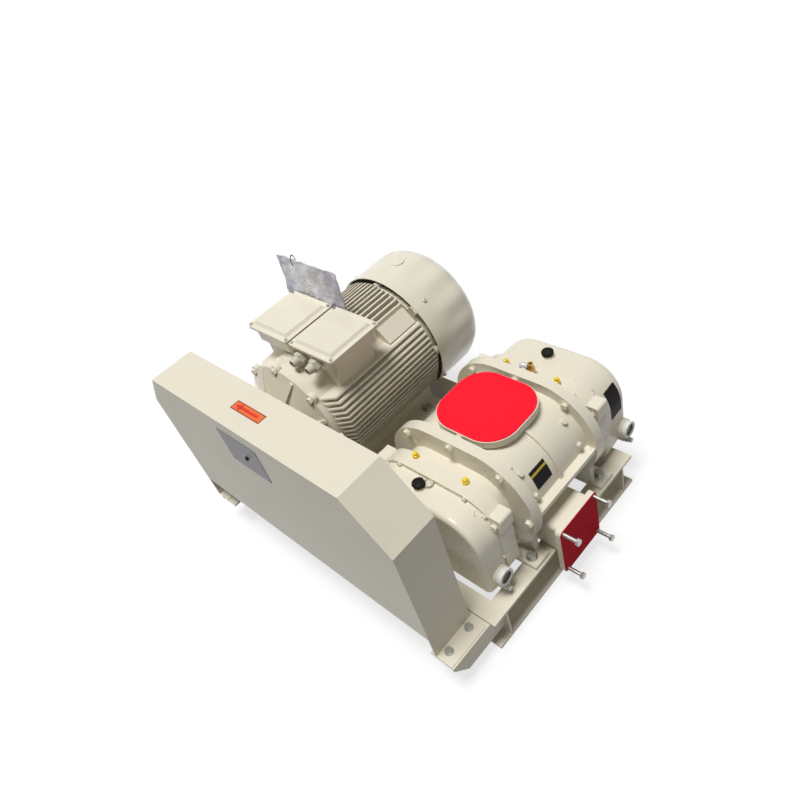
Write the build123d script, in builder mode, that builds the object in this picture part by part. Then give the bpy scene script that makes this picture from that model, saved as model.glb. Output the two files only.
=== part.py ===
"""Roots vacuum pump set: a three-lobe twin-shaft pump and its finned motor, side by side on a
welded channel base, joined by V-belts under a sheet-metal guard.

Frame: +Z up, X from the motor to the pump, Y along all the shafts and away from the belt guard.
The origin lies on the floor under the centre of the base's foundation bolts.  Millimetres.
"""
import os
from math import acos, atan2, cos, degrees, pi, radians, sin, sqrt, tan

from build123d import *

os.makedirs("parts", exist_ok=True)

# ---------------------------------------------------------------- driving dimensions
# Welded base
base_length = 1084
base_width = 674
channel_height = 120
channel_flange = 53
channel_web = 6
channel_flange_thickness = 9
foundation_hole = 18
foundation_hole_inset = 62
inner_channel_motor_x = -104
inner_channel_pump_x = 69

# Pump
pump_x = 288
shaft_distance = 152
pump_shaft_height = 297
rotor_tip_radius = 110
rotor_clearance = 0.2
bore_clearance = 0.35
end_clearance = 0.4
lobes = 3
casing_wall = 29
casing_front = -100
casing_length = 298
casing_flange_reach = 172
casing_flange_thickness = 18
casing_rib_reach = 147
casing_rib_width = 12
ledge_height = 14
plate_flange = 14
neck_reach = 104
near_plate_front = -185
far_plate_back = 267
rim_half_width = 213
rim_top = 419
rim_bottom = 141
rim_corner = 118
rim_width = 30
cover_flange = 18
cover_wall = 9
near_cover_front = -277
near_cover_top = 405
far_cover_back = 410
far_cover_top = 408
far_cover_corner = 124
cover_half_width = 206
cover_bottom = 127
cover_corner = 106
cover_foot_corner = 26
cover_draft = 3
cover_edge = 14
far_cover_edge = 26
seal_boss_depth = 20
rim_foot_corner = 60
shoulder_width = 40
shoulder_depth = 50
shoulder_proud = 8
shoulder_height = 360
shoulder_round = 8
rotor_shaft_radius = 26
rotor_shaft_far_end = 312
pump_shaft_near_end = -448
waist_steps = 8
waist_bunching = 2.2
gear_front = 273
gear_recess = 8
gear_rim_inside = 64
gear_hub_radius = 42
gear_teeth = 38
gear_width = 30
gear_backlash = 0.5
bearing_radius = 45
bearing_width = 26
shaft_running_clearance = 0.05
seal_radius = 38
seal_width = 10
inlet_length = 258
inlet_width = 240
inlet_corner = 88
inlet_height = 464
inlet_flange = 20
inlet_bore = 75
discharge_face_x = 579
discharge_y = 9
discharge_z = 150
discharge_width = 172
discharge_height = 180
discharge_plate = 16
duct_width = 142
duct_height = 104
duct_wall = 12
film = 1.5
pump_foot_x = 219
pump_foot_y = 168
pump_foot_thickness = 14
foot_length = 88
foot_width = 62
foot_inset = 14
foot_web_inset = 30
foot_web_length = 56
foot_web_height = 76
bolt_circle = 155
inlet_step = 22
discharge_corner = 14
duct_bottom = 125

# Motor
motor_x = -296
motor_axis_over_feet = 225
fin_setback = 8
fin_bevel = 30
pedestal_top = 552
pedestal_length = 330
pedestal_width = 150
box_y = -35
pad_turn = 45
pad_length = 120
pad_width = 62
pad_height = 26
pad_setback = 14
foot_inner = 126
foot_outer = 218
foot_plate = 22
foot_web_outer = 152
foot_top_outer = 146
foot_top_inner = 96
foot_top_height = -95
foot_pad_length = 95
foot_back = 216
spot_face = 20
foot_run = 392
shield_radius = 200
shield_rim = 16
shield_hub = 84
shield_lip = 8
shield_bolts = 8
shield_bolt_radius = 196
shield_spot_face = 14
shield_lug = 17
shield_ribs = 8
rib_thickness = 10
drive_hub_length = 92
fan_hub_length = 52
bearing_bore = 70
motor_bearing_width = 33
motor_shaft_radius = 30
motor_shaft_front = -450
motor_shaft_back = 378
stator_back = 125
stator_length = 220
winding_overhang = 42
rotor_core_radius = 118
air_gap = 1
fan_front = 304
fan_width = 56
fan_plate = 5
fan_hub_radius = 44
fan_radius = 180
fan_blades = 8
cowl_front = 241
cowl_round = 75
cowl_screws = 4
cowl_lug = 30
grille_rows = 4
grille_first = 40
grille_pitch = 27
grille_holes = 16
grille_holes_step = 8
grille_slot_height = 22
grille_slot_width = 8
box_spacing = 208
box_size = 184
box_height = 51
box_corner = 12
box_wall = 5
box_draft = 3
lid_size = 200
lid_rim = 9
lid_raised = 168
lid_crown = 9
lid_bevel = 40
lid_screw = 3
lid_screw_head = 4
lid_screw_spacing = 180
gland_xs = (-250, -180)
gland_height = 573
gland_thread = 14
gland_stand = 6
gland_hex = 20
gland_dome = 22
gland_flats = 38
gland_bore = 11
motor_envelope_radius = 218
motor_core_radius = 184
motor_frame_front = -190
motor_frame_length = 427
motor_bore_radius = 165
fin_pitch = 17
fin_thickness = 5
fins_each_side = 15
foot_spacing_across = 356
foot_spacing_along = 311
first_foot_y = -151
rail_height = 18
rail_width = 52
cowl_radius = 226
cowl_length = 226
cowl_sheet = 3

# Belt drive and guard
belt_count = 4
belt_pitch = 19
belt_top_width = 16
belt_depth = 13
belt_clearance = 0.3
motor_sheave_radius = 95
pump_sheave_radius = 80
sheave_center_y = -412
guard_front_y = -488
guard_depth = 138
guard_sheet = 3
guard_motor_end = -542
guard_pump_end = 468
guard_top = 689
guard_front_bottom = 197
guard_tab_height = 114
guard_tab_length = 53
guard_motor_chamfer_x = 87
guard_motor_chamfer_z = 117
guard_pump_chamfer_x = 121
guard_pump_chamfer_z = 135
guard_bolt_x = 487
guard_bolt_ys = (-458, -377)
bracket_outer_x = 526
bracket_length = 79
bracket_reach = 150
bracket_plate = 6
bracket_height = 68
bracket_step = 106
bracket_taper = 45
bolt_hole_clearance = 1
groove_angle = 38
groove_depth = 15
belt_proud = 1
rim_wall = 10
sheave_recess = 18
bush_taper = 3
bush_split = 3
motor_bush_radius = 46
pump_bush_radius = 40
guard_back_bottom = 150
guard_slot = 24
motor_opening = 120
slide_travel = 60
pump_opening = 56
window_x = -66
window_z = 590
window_length = 170
window_height = 120
window_thickness = 1.5
rail_start = -541
rail_length = 464
vent_ys = (-165, 247)
vent_xs = (203, 378)
vent_radius = 10
vent_height = 8
near_cap_x = 270
near_cap_y = -231
near_cap_z = 408
far_cap_x = 278
far_cap_y = 345
far_cap_z = 411
cap_radius = 17
cap_height = 9
sight_face_x = 500
sight_spots = ((-232, 188), (379, 178))
sight_ring = 27
sight_glass = 19
sight_depth = 16
drain_spots = ((-236, 149), (375, 139))
drain_boss = 10
drain_boss_depth = 14
drain_head = 10
inlet_cover_thickness = 3
inlet_cover_inset = 3
outlet_bolt_y = 146
outlet_bolt_z = 156
outlet_bolt_stand = 42
fitting_x = 291
fitting_y = 248
fitting_z = 419
bag_length = 293
bag_thickness = 6
bag_center_x = -392
bag_lean = 14
bag_top = 735
bag_gap = 0.5

# Fasteners
m12 = 12
m16 = 16

# ---------------------------------------------------------------- derived sizes
motor_axis_height = channel_height + rail_height + motor_axis_over_feet
pitch_radius = shaft_distance / 2
drive_shaft_x = pump_x - pitch_radius
idler_shaft_x = pump_x + pitch_radius
casing_back = casing_front + casing_length
casing_middle = casing_front + casing_length / 2
bore_radius = rotor_tip_radius + bore_clearance
casing_reach = bore_radius + casing_wall
half_length = base_length / 2
half_width = base_width / 2


def across(y):
    """Upright plane square to the shafts at y; its normal looks back towards the guard."""
    return Plane.XZ.offset(-y)


def hex_bolt(size, length, washer=True):
    """Hexagon bolt along Z: head above the seat at z = 0, shank below it."""
    flats = 1.5 * size + 1
    head = 0.65 * size
    washer_thickness = 0.2 * size if washer else 0
    with BuildPart() as bolt:
        if washer:
            Cylinder(size * 1.05, washer_thickness, align=(Align.CENTER, Align.CENTER, Align.MIN))
        with BuildSketch(Plane.XY.offset(washer_thickness)):
            RegularPolygon(flats / 2, 6, major_radius=False)
        extrude(amount=head)
        Cylinder(size / 2, length, align=(Align.CENTER, Align.CENTER, Align.MAX))
    return bolt.part


def save(part, name):
    part.label = name
    export_step(part, f"parts/{name}.step")


gear_module = 2 * pitch_radius / gear_teeth
pressure_angle = radians(20)
motor_foot_spots = [
    (motor_x + side * foot_spacing_across / 2, first_foot_y + k * foot_spacing_along)
    for side in (-1, 1)
    for k in (0, 1)
]

# ---------------------------------------------------------------- base
def channel_profile():
    """C section standing upright; the web's back is on the local origin line."""
    Rectangle(channel_flange, channel_height, align=(Align.MIN, Align.MIN))
    with Locations((channel_web, channel_flange_thickness)):
        Rectangle(
            channel_flange,
            channel_height - 2 * channel_flange_thickness,
            align=(Align.MIN, Align.MIN),
            mode=Mode.SUBTRACT,
        )


flange_center = channel_flange - (channel_flange - channel_web) / 2
for name, side in (("cross_channel_near", -1), ("cross_channel_far", 1)):
    back = Plane(
        origin=(-side * half_length, side * (half_width - channel_flange), 0),
        x_dir=(0, side, 0),
        z_dir=(side, 0, 0),
    )
    with BuildPart() as channel:
        with BuildSketch(back):
            channel_profile()
        extrude(amount=base_length)
        with Locations(Plane.XY):
            with Locations(
                (half_length - foundation_hole_inset, side * (half_width - channel_flange + flange_center)),
                (foundation_hole_inset - half_length, side * (half_width - channel_flange + flange_center)),
            ):
                Cylinder(
                    foundation_hole / 2,
                    channel_flange_thickness,
                    align=(Align.CENTER, Align.CENTER, Align.MIN),
                    mode=Mode.SUBTRACT,
                )
    save(channel.part, name)

side_run = base_width - 2 * channel_flange
for name, web_x, side in (
    ("side_channel_motor", channel_flange - half_length, -1),
    ("side_channel_pump", half_length - channel_flange, 1),
    ("inner_channel_motor", inner_channel_motor_x - channel_flange / 2, 1),
    ("inner_channel_pump", inner_channel_pump_x - channel_flange / 2, 1),
):
    back = Plane(
        origin=(web_x, side * side_run / 2, 0),
        x_dir=(side, 0, 0),
        z_dir=(0, -side, 0),
    )
    with BuildPart() as channel:
        with BuildSketch(back):
            channel_profile()
        extrude(amount=side_run)
    save(channel.part, name)


with BuildPart() as bracket_pump:
    bracket_top = Plane.XY.offset(guard_tab_height)
    with BuildSketch(bracket_top):
        with Locations((bracket_outer_x, guard_front_y)):
            Rectangle(bracket_length, bracket_reach, align=(Align.MAX, Align.MIN))
        with Locations(*[(guard_bolt_x, y) for y in guard_bolt_ys]):
            Circle(m12 / 2 + bolt_hole_clearance, mode=Mode.SUBTRACT)
    extrude(amount=-bracket_plate)
    with BuildSketch(Plane.YZ.offset(bracket_outer_x)):
        with BuildLine():
            Polyline(
                (guard_front_y, guard_tab_height),
                (guard_front_y + bracket_reach, guard_tab_height),
                (guard_front_y + bracket_reach, bracket_step),
                (channel_flange - channel_web - half_width, bracket_step),
                (channel_flange - channel_web - half_width, guard_tab_height - bracket_height),
                (guard_front_y + bracket_taper, guard_tab_height - bracket_height),
                (guard_front_y, guard_tab_height - 2 * bracket_plate),
                close=True,
            )
        make_face()
    extrude(amount=-bracket_plate)
save(bracket_pump.part, "guard_bracket_pump")
with BuildPart() as bracket_motor:
    add(mirror(bracket_pump.part, about=Plane.YZ, mode=Mode.PRIVATE))
save(bracket_motor.part, "guard_bracket_motor")

# ---------------------------------------------------------------- pump casing
def twin_circles(reach):
    """Outline round both shafts at the given reach."""
    with Locations((drive_shaft_x, pump_shaft_height), (idler_shaft_x, pump_shaft_height)):
        Circle(reach)
    with Locations((pump_x, pump_shaft_height)):
        Rectangle(shaft_distance, 2 * reach)


flange_bolts = [
    (side * (pitch_radius + bolt_circle * cos(radians(turn))), bolt_circle * sin(radians(turn)))
    for side in (-1, 1)
    for turn in (-57, -3, 57)
] + [(0, bolt_circle), (0, -bolt_circle)]
foot_rise = pump_foot_y - casing_length / 2 + casing_flange_thickness / 2
foot_spots = [
    (pump_x + i * pump_foot_x, casing_middle + j * pump_foot_y) for i in (-1, 1) for j in (-1, 1)
]

with BuildPart() as casing:
    with BuildSketch(across(casing_back)):
        twin_circles(casing_reach)
    extrude(amount=casing_length)
    for flange_back in (casing_back, casing_front + casing_flange_thickness):
        with BuildSketch(across(flange_back)):
            twin_circles(casing_flange_reach)
        extrude(amount=casing_flange_thickness)
    with BuildSketch(across(casing_middle + casing_rib_width / 2)):
        twin_circles(casing_rib_reach)
    extrude(amount=casing_rib_width)
    # ledge along each side at shaft height
    with BuildSketch(across(casing_back)):
        with Locations((pump_x, pump_shaft_height - ledge_height / 2)):
            Rectangle(shaft_distance + 2 * casing_flange_reach - 10, ledge_height)
    extrude(amount=casing_length)
    # inlet port: neck widening to a rounded-square flange
    with BuildSketch(Plane.XY.offset(pump_shaft_height)):
        with Locations((pump_x, casing_middle)):
            RectangleRounded(
                inlet_length - inlet_step, inlet_width - inlet_step, inlet_corner - inlet_step / 2
            )
    extrude(amount=inlet_height - pump_shaft_height)
    with BuildSketch(Plane.XY.offset(inlet_height)):
        with Locations((pump_x, casing_middle)):
            RectangleRounded(inlet_length, inlet_width, inlet_corner)
    extrude(amount=-inlet_flange)
    # discharge duct leaving through the lower pump side
    with BuildSketch(Plane.YZ.offset(idler_shaft_x)):
        with Locations((discharge_y, duct_bottom + duct_height / 2)):
            RectangleRounded(duct_width, duct_height, duct_wall)
    extrude(amount=discharge_face_x - idler_shaft_x)
    with BuildSketch(Plane.YZ.offset(discharge_face_x)):
        with Locations((discharge_y, discharge_z)):
            RectangleRounded(discharge_width, discharge_height, discharge_corner)
    extrude(amount=-discharge_plate)
    # rotor bores and ports
    with BuildSketch(across(casing_back)):
        with Locations((drive_shaft_x, pump_shaft_height), (idler_shaft_x, pump_shaft_height)):
            Circle(bore_radius)
    extrude(amount=casing_length, mode=Mode.SUBTRACT)
    with BuildSketch(Plane.XY.offset(inlet_height)):
        with Locations((pump_x, casing_middle)):
            Circle(inlet_bore)
    extrude(amount=pump_shaft_height - inlet_height, mode=Mode.SUBTRACT)
    with BuildSketch(Plane.YZ.offset(discharge_face_x)):
        with Locations((discharge_y, duct_bottom + duct_height / 2)):
            RectangleRounded(duct_width - 2 * duct_wall, duct_height - 2 * duct_wall, duct_wall / 2)
    extrude(amount=idler_shaft_x - discharge_face_x, mode=Mode.SUBTRACT)
    # feet standing on the base channels
    for (x, y) in foot_spots:
        inward = 1 if x < pump_x else -1
        toward = 1 if y < casing_middle else -1
        with BuildSketch(Plane.XY.offset(channel_height)):
            with Locations((x + inward * foot_inset, y + toward * foot_inset / 2)):
                Rectangle(foot_length, foot_width)
        extrude(amount=pump_foot_thickness)
        with BuildSketch(Plane.XY.offset(channel_height)):
            with Locations((x + inward * foot_web_inset, y + toward * foot_rise)):
                Rectangle(foot_web_length, casing_flange_thickness)
        extrude(amount=foot_web_height)
    with BuildSketch(Plane.XY.offset(channel_height + pump_foot_thickness)):
        with Locations(*foot_spots):
            Circle(m16 / 2 + bolt_hole_clearance)
    extrude(amount=-pump_foot_thickness, mode=Mode.SUBTRACT)
save(casing.part, "pump_casing")

# ---------------------------------------------------------------- side plates
def pump_plane(y):
    """Upright plane at y with its origin on the floor under the pump's middle."""
    return Plane(origin=(pump_x, y, 0), x_dir=(1, 0, 0), z_dir=(0, -1, 0))


def rounded_arch(half, bottom, top, corner, foot_corner):
    """Cover outline about the pump's middle: broad rounded top, small rounded feet."""
    with BuildSketch() as arch:
        with Locations((0, bottom)):
            Rectangle(2 * half, top - bottom, align=(Align.CENTER, Align.MIN))
        fillet(arch.vertices().group_by(Axis.Y)[-1], corner)
        fillet(arch.vertices().group_by(Axis.Y)[0], foot_corner)
    return arch.sketch


def rim_outline():
    """Rim that joins side plate and cover, with a bolting block at each shoulder."""
    with BuildSketch() as rim:
        add(rounded_arch(rim_half_width, rim_bottom, rim_top, rim_corner, rim_foot_corner))
        shoulder_x = rim_half_width - shoulder_width / 2 + shoulder_proud
        with Locations((-shoulder_x, shoulder_height), (shoulder_x, shoulder_height)):
            RectangleRounded(shoulder_width, shoulder_depth, shoulder_round)
    return rim.sketch


near_neck = (casing_front - plate_flange) - (near_plate_front + rim_width)
far_neck = (far_plate_back - rim_width) - (casing_back + plate_flange)
for name, flange_back, neck, neck_back, rim_back, bearing_back, end_back in (
    ("side_plate_near", casing_front, near_neck, casing_front - plate_flange,
     near_plate_front + rim_width, near_plate_front + bearing_width, near_plate_front),
    ("side_plate_far", casing_back + plate_flange, far_neck, far_plate_back - rim_width,
     far_plate_back, far_plate_back, far_plate_back),
):
    total_back = casing_front if name == "side_plate_near" else far_plate_back
    total = total_back - (near_plate_front if name == "side_plate_near" else casing_back)
    with BuildPart() as plate:
        with BuildSketch(across(flange_back)):
            twin_circles(casing_flange_reach)
        extrude(amount=plate_flange)
        with BuildSketch(across(flange_back)):
            with Locations(*[(pump_x + dx, pump_shaft_height + dz) for dx, dz in flange_bolts]):
                Circle(m12 / 2 + bolt_hole_clearance)
        extrude(amount=plate_flange, mode=Mode.SUBTRACT)
        with BuildSketch(across(neck_back)):
            twin_circles(neck_reach)
        extrude(amount=neck)
        with BuildSketch(pump_plane(rim_back)):
            add(rim_outline())
        extrude(amount=rim_width)
        with BuildSketch(across(total_back)):
            with Locations(*[(x, pump_shaft_height) for x in (drive_shaft_x, idler_shaft_x)]):
                Circle(rotor_shaft_radius + shaft_running_clearance)
        extrude(amount=total, mode=Mode.SUBTRACT)
        with BuildSketch(across(bearing_back)):
            with Locations(*[(x, pump_shaft_height) for x in (drive_shaft_x, idler_shaft_x)]):
                Circle(bearing_radius)
        extrude(amount=bearing_width, mode=Mode.SUBTRACT)
    save(plate.part, name)

# ---------------------------------------------------------------- covers
def cover_side_bosses(cover):
    """Flat seats on a cover's side for its sight glass and drain plug."""
    with BuildSketch(Plane.YZ.offset(sight_face_x)) as seats:
        with Locations(sight_spots[cover]):
            Circle(sight_ring + 2)
        with Locations(drain_spots[cover]):
            Circle(drain_boss + 2)
    extrude(seats.sketch, amount=pump_x + cover_half_width - sight_face_x - 2 * cover_wall)


def filler_boss(x, y, z):
    """Round seat on a cover's top for its oil filler cap."""
    with BuildSketch(Plane.XY.offset(z)) as seat:
        with Locations((x, y)):
            Circle(cap_radius)
    extrude(seat.sketch, amount=-2 * cover_wall)


with BuildPart() as oil_cover:
    with BuildSketch(pump_plane(near_plate_front)):
        add(rim_outline())
    extrude(amount=cover_flange)
    with BuildSketch(pump_plane(near_plate_front - cover_flange)):
        add(rounded_arch(cover_half_width, cover_bottom, near_cover_top, cover_corner, cover_foot_corner))
    extrude(amount=near_plate_front - cover_flange - near_cover_front, taper=cover_draft)
    fillet(oil_cover.faces().sort_by(Axis.Y)[0].edges(), cover_edge)
    cover_side_bosses(0)
    filler_boss(near_cap_x, near_cap_y, near_cap_z)
    with BuildSketch(pump_plane(near_plate_front)):
        add(
            rounded_arch(
                cover_half_width - 3 * cover_wall, rim_bottom + cover_wall, near_cover_top - 3 * cover_wall,
                cover_corner - 2 * cover_wall, cover_foot_corner,
            )
        )
    extrude(amount=near_plate_front - near_cover_front - cover_wall, mode=Mode.SUBTRACT)
    with BuildSketch(across(near_cover_front + seal_boss_depth)):
        with Locations((drive_shaft_x, pump_shaft_height)):
            Circle(seal_radius + cover_wall)
    extrude(amount=seal_boss_depth)
    with BuildSketch(across(near_cover_front + seal_boss_depth)):
        with Locations((drive_shaft_x, pump_shaft_height)):
            Circle(rotor_shaft_radius + bolt_hole_clearance)
    extrude(amount=seal_boss_depth, mode=Mode.SUBTRACT)
    with BuildSketch(across(near_cover_front + seal_width)):
        with Locations((drive_shaft_x, pump_shaft_height)):
            Circle(seal_radius)
    extrude(amount=seal_width, mode=Mode.SUBTRACT)
save(oil_cover.part, "oil_cover")

with BuildPart() as gear_cover:
    with BuildSketch(pump_plane(far_plate_back + cover_flange)):
        add(rim_outline())
    extrude(amount=cover_flange)
    with BuildSketch(pump_plane(far_plate_back + cover_flange)):
        add(rounded_arch(cover_half_width, cover_bottom, far_cover_top, far_cover_corner, cover_foot_corner))
    extrude(amount=far_plate_back + cover_flange - far_cover_back, taper=cover_draft)
    fillet(gear_cover.faces().sort_by(Axis.Y)[-1].edges(), far_cover_edge)
    cover_side_bosses(1)
    filler_boss(far_cap_x, far_cap_y, far_cap_z)
    with BuildSketch(pump_plane(far_cover_back - cover_wall)):
        add(
            rounded_arch(
                cover_half_width - 3 * cover_wall, rim_bottom + cover_wall, far_cover_top - 3 * cover_wall,
                far_cover_corner - 2 * cover_wall, cover_foot_corner,
            )
        )
    extrude(amount=far_cover_back - cover_wall - far_plate_back, mode=Mode.SUBTRACT)
save(gear_cover.part, "gear_cover")

with BuildPart() as shaft_seal:
    with BuildSketch(across(near_cover_front + seal_width)):
        with Locations((drive_shaft_x, pump_shaft_height)):
            Circle(seal_radius)
            Circle(rotor_shaft_radius + shaft_running_clearance, mode=Mode.SUBTRACT)
    extrude(amount=seal_width)
save(shaft_seal.part, "shaft_seal")

with BuildPart() as rotor_bearings:
    for back in (near_plate_front + bearing_width, far_plate_back):
        with BuildSketch(across(back)):
            with Locations(*[(x, pump_shaft_height) for x in (drive_shaft_x, idler_shaft_x)]):
                Circle(bearing_radius)
                Circle(rotor_shaft_radius + shaft_running_clearance, mode=Mode.SUBTRACT)
        extrude(amount=bearing_width)
save(rotor_bearings.part, "rotor_bearings")


# ---------------------------------------------------------------- rotors
# Each lobe tip is an arc centred on the lobe's axis.  Each waist is the path that the other
# rotor's tip arc sweeps while the two pitch circles roll on each other, so the pair stays in mesh.
half_lobe = pi / (2 * lobes)
tip_center = (rotor_tip_radius**2 - pitch_radius**2) / (
    2 * rotor_tip_radius - 2 * pitch_radius * cos(half_lobe)
)
tip_arc = rotor_tip_radius - tip_center


def waist_point(roll, axis_turn):
    """Point of the waist round axis_turn, with the rotors rolled by the angle roll."""
    path = (
        shaft_distance * cos(roll) - tip_center * cos(2 * roll),
        shaft_distance * sin(roll) - tip_center * sin(2 * roll),
    )
    normal = (
        shaft_distance * cos(roll) - 2 * tip_center * cos(2 * roll),
        shaft_distance * sin(roll) - 2 * tip_center * sin(2 * roll),
    )
    size = sqrt(normal[0] ** 2 + normal[1] ** 2)
    x = path[0] - (tip_arc + rotor_clearance) * normal[0] / size
    y = path[1] - (tip_arc + rotor_clearance) * normal[1] / size
    return (x * cos(axis_turn) - y * sin(axis_turn), x * sin(axis_turn) + y * cos(axis_turn))


def rotor_profile():
    """Closed three-lobe outline: an arc over each tip, a chain of arcs through each waist."""
    shares = [(k / waist_steps) ** waist_bunching for k in range(waist_steps + 1)]
    rolls = [-half_lobe * share for share in reversed(shares[1:])] + [half_lobe * share for share in shares]
    tip_reach = rotor_tip_radius - rotor_clearance
    with BuildSketch() as profile:
        with BuildLine():
            for lobe in range(lobes):
                axis = 2 * pi * lobe / lobes
                points = [waist_point(roll, axis + pi / lobes) for roll in rolls]
                for k in range(0, 2 * waist_steps, 2):
                    ThreePointArc(*points[k : k + 3])
                last = waist_point(half_lobe, axis - pi / lobes)
                ThreePointArc(last, (tip_reach * cos(axis), tip_reach * sin(axis)), points[0])
        make_face()
    return profile.sketch


def gear_outline(turn):
    """Spur gear outline with involute flanks, thinned by the backlash."""
    base = pitch_radius * cos(pressure_angle)
    root = pitch_radius - 1.25 * gear_module
    tip = pitch_radius + gear_module
    half_tooth = pi / (2 * gear_teeth) - gear_backlash / (4 * pitch_radius)
    radii = [root, base, pitch_radius, (pitch_radius + tip) / 2, tip]

    def flank_angle(radius):
        roll = acos(min(1, base / radius))
        return half_tooth + (tan(pressure_angle) - pressure_angle) - (tan(roll) - roll)

    points = []
    for tooth in range(gear_teeth):
        middle = 2 * pi * tooth / gear_teeth + turn
        points += [(r * cos(middle - flank_angle(r)), r * sin(middle - flank_angle(r))) for r in radii]
        points += [
            (r * cos(middle + flank_angle(r)), r * sin(middle + flank_angle(r))) for r in reversed(radii)
        ]
    with BuildSketch() as outline:
        with BuildLine():
            Polyline(*points, close=True)
        make_face()
    return outline.sketch


for name, x, near_end in (
    ("drive_rotor", drive_shaft_x, pump_shaft_near_end),
    ("idler_rotor", idler_shaft_x, near_plate_front),
):
    lobes_back = Plane(
        origin=(x, casing_back - end_clearance, pump_shaft_height), x_dir=(1, 0, 0), z_dir=(0, -1, 0)
    )
    with BuildPart() as rotor:
        with BuildSketch(lobes_back):
            add(rotor_profile())
        extrude(amount=casing_length - 2 * end_clearance)
        with BuildSketch(lobes_back.offset(casing_back - end_clearance - rotor_shaft_far_end)):
            Circle(rotor_shaft_radius)
        extrude(amount=rotor_shaft_far_end - near_end)
    save(rotor.part, name)

for name, x, turn in (
    ("drive_timing_gear", drive_shaft_x, 0),
    ("idler_timing_gear", idler_shaft_x, pi + pi / gear_teeth),
):
    gear_back = Plane(
        origin=(x, gear_front + gear_width, pump_shaft_height), x_dir=(1, 0, 0), z_dir=(0, -1, 0)
    )
    with BuildPart() as gear:
        with BuildSketch(gear_back):
            add(gear_outline(turn))
            Circle(rotor_shaft_radius, mode=Mode.SUBTRACT)
        extrude(amount=gear_width)
        # recess on both faces between rim and hub
        for depth in (0, gear_width - gear_recess):
            with BuildSketch(gear_back.offset(depth)):
                Circle(gear_rim_inside)
                Circle(gear_hub_radius, mode=Mode.SUBTRACT)
            extrude(amount=gear_recess, mode=Mode.SUBTRACT)
    save(gear.part, name)

# ---------------------------------------------------------------- motor
motor_frame_back = motor_frame_front + motor_frame_length
fin_offsets = [fin_pitch * (i - (fins_each_side - 1) / 2) for i in range(fins_each_side)]


def motor_plane(y):
    """Upright plane at y with its origin on the motor's axis."""
    return Plane(origin=(motor_x, y, motor_axis_height), x_dir=(1, 0, 0), z_dir=(0, -1, 0))


with BuildPart() as motor_frame:
    with BuildSketch(motor_plane(motor_frame_back - fin_setback)):
        for offset_along in fin_offsets:
            with Locations((0, offset_along)):
                Rectangle(2 * motor_envelope_radius, fin_thickness)
            with Locations((offset_along, 0)):
                Rectangle(fin_thickness, 2 * motor_envelope_radius)
        Circle(motor_envelope_radius, mode=Mode.INTERSECT)
    extrude(amount=motor_frame_length - 2 * fin_setback)
    # no fins under and in front of the terminal boxes
    with BuildSketch(Plane.XY.offset(motor_axis_height + fin_offsets[-1] + fin_thickness)):
        with Locations((motor_x, motor_frame_front)):
            Rectangle(
                2 * fin_offsets[-1] + 2 * fin_pitch,
                box_y + box_size / 2 + box_corner - motor_frame_front,
                align=(Align.CENTER, Align.MIN),
            )
    extrude(amount=motor_envelope_radius, mode=Mode.SUBTRACT)
    # the fins' front ends are bevelled down to the core
    with BuildSketch(Plane.YZ.offset(motor_x)):
        with BuildLine():
            front = motor_frame_front + fin_setback
            Polyline(
                (front, motor_axis_height + motor_core_radius),
                (front, motor_axis_height + motor_envelope_radius + 1),
                (front + fin_bevel, motor_axis_height + motor_envelope_radius + 1),
                close=True,
            )
        make_face()
    revolve(axis=Axis((motor_x, 0, motor_axis_height), (0, 1, 0)), revolution_arc=360, mode=Mode.SUBTRACT)
    with BuildSketch(motor_plane(motor_frame_back)):
        Circle(motor_core_radius)
    extrude(amount=motor_frame_length)
    # pedestal for the terminal boxes
    with BuildSketch(Plane.XY.offset(pedestal_top)):
        with Locations((motor_x, box_y)):
            Rectangle(pedestal_length, pedestal_width)
    extrude(amount=motor_axis_height - pedestal_top)
    # flat machined pads on the upper shoulders, towards the fan
    for side in (-1, 1):
        shoulder = Plane(
            origin=(motor_x, 0, motor_axis_height), x_dir=(0, 1, 0),
            z_dir=(side * cos(radians(pad_turn)), 0, sin(radians(pad_turn))),
        )
        with BuildSketch(shoulder.offset(motor_core_radius - 20)):
            with Locations((motor_frame_back - pad_length / 2 - pad_setback, 0)):
                Rectangle(pad_length, pad_width)
        extrude(amount=pad_height + 20)
    # feet
    for side in (-1, 1):
        with BuildSketch(motor_plane(foot_back)):
            with BuildLine():
                Polyline(
                    (side * foot_inner, -motor_axis_over_feet),
                    (side * foot_outer, -motor_axis_over_feet),
                    (side * foot_outer, foot_plate - motor_axis_over_feet),
                    (side * foot_web_outer, foot_plate + 8 - motor_axis_over_feet),
                    (side * foot_top_outer, foot_top_height),
                    (side * foot_top_inner, foot_top_height),
                    close=True,
                )
            make_face()
        extrude(amount=foot_run)
        with BuildSketch(Plane.XY.offset(channel_height + rail_height + foot_plate)):
            pocket_x = motor_x + side * ((foot_outer + foot_web_outer) / 2 + 12)
            with Locations((pocket_x, foot_back - foot_run / 2)):
                Rectangle(foot_outer - foot_inner, foot_run - 2 * foot_pad_length)
        extrude(amount=-foot_plate, mode=Mode.SUBTRACT)
    with BuildSketch(motor_plane(motor_frame_back)):
        Circle(motor_bore_radius)
    extrude(amount=motor_frame_length, mode=Mode.SUBTRACT)
    with BuildSketch(Plane.XY.offset(channel_height + rail_height)):
        with Locations(*motor_foot_spots):
            Circle(m16 / 2 + bolt_hole_clearance)
    extrude(amount=foot_plate, mode=Mode.SUBTRACT)
    # spot faces give the foot bolts' washers room
    with BuildSketch(Plane.XY.offset(channel_height + rail_height + foot_plate)):
        with Locations(*motor_foot_spots):
            Circle(spot_face)
    extrude(amount=spot_face, mode=Mode.SUBTRACT)
save(motor_frame.part, "motor_frame")

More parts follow.
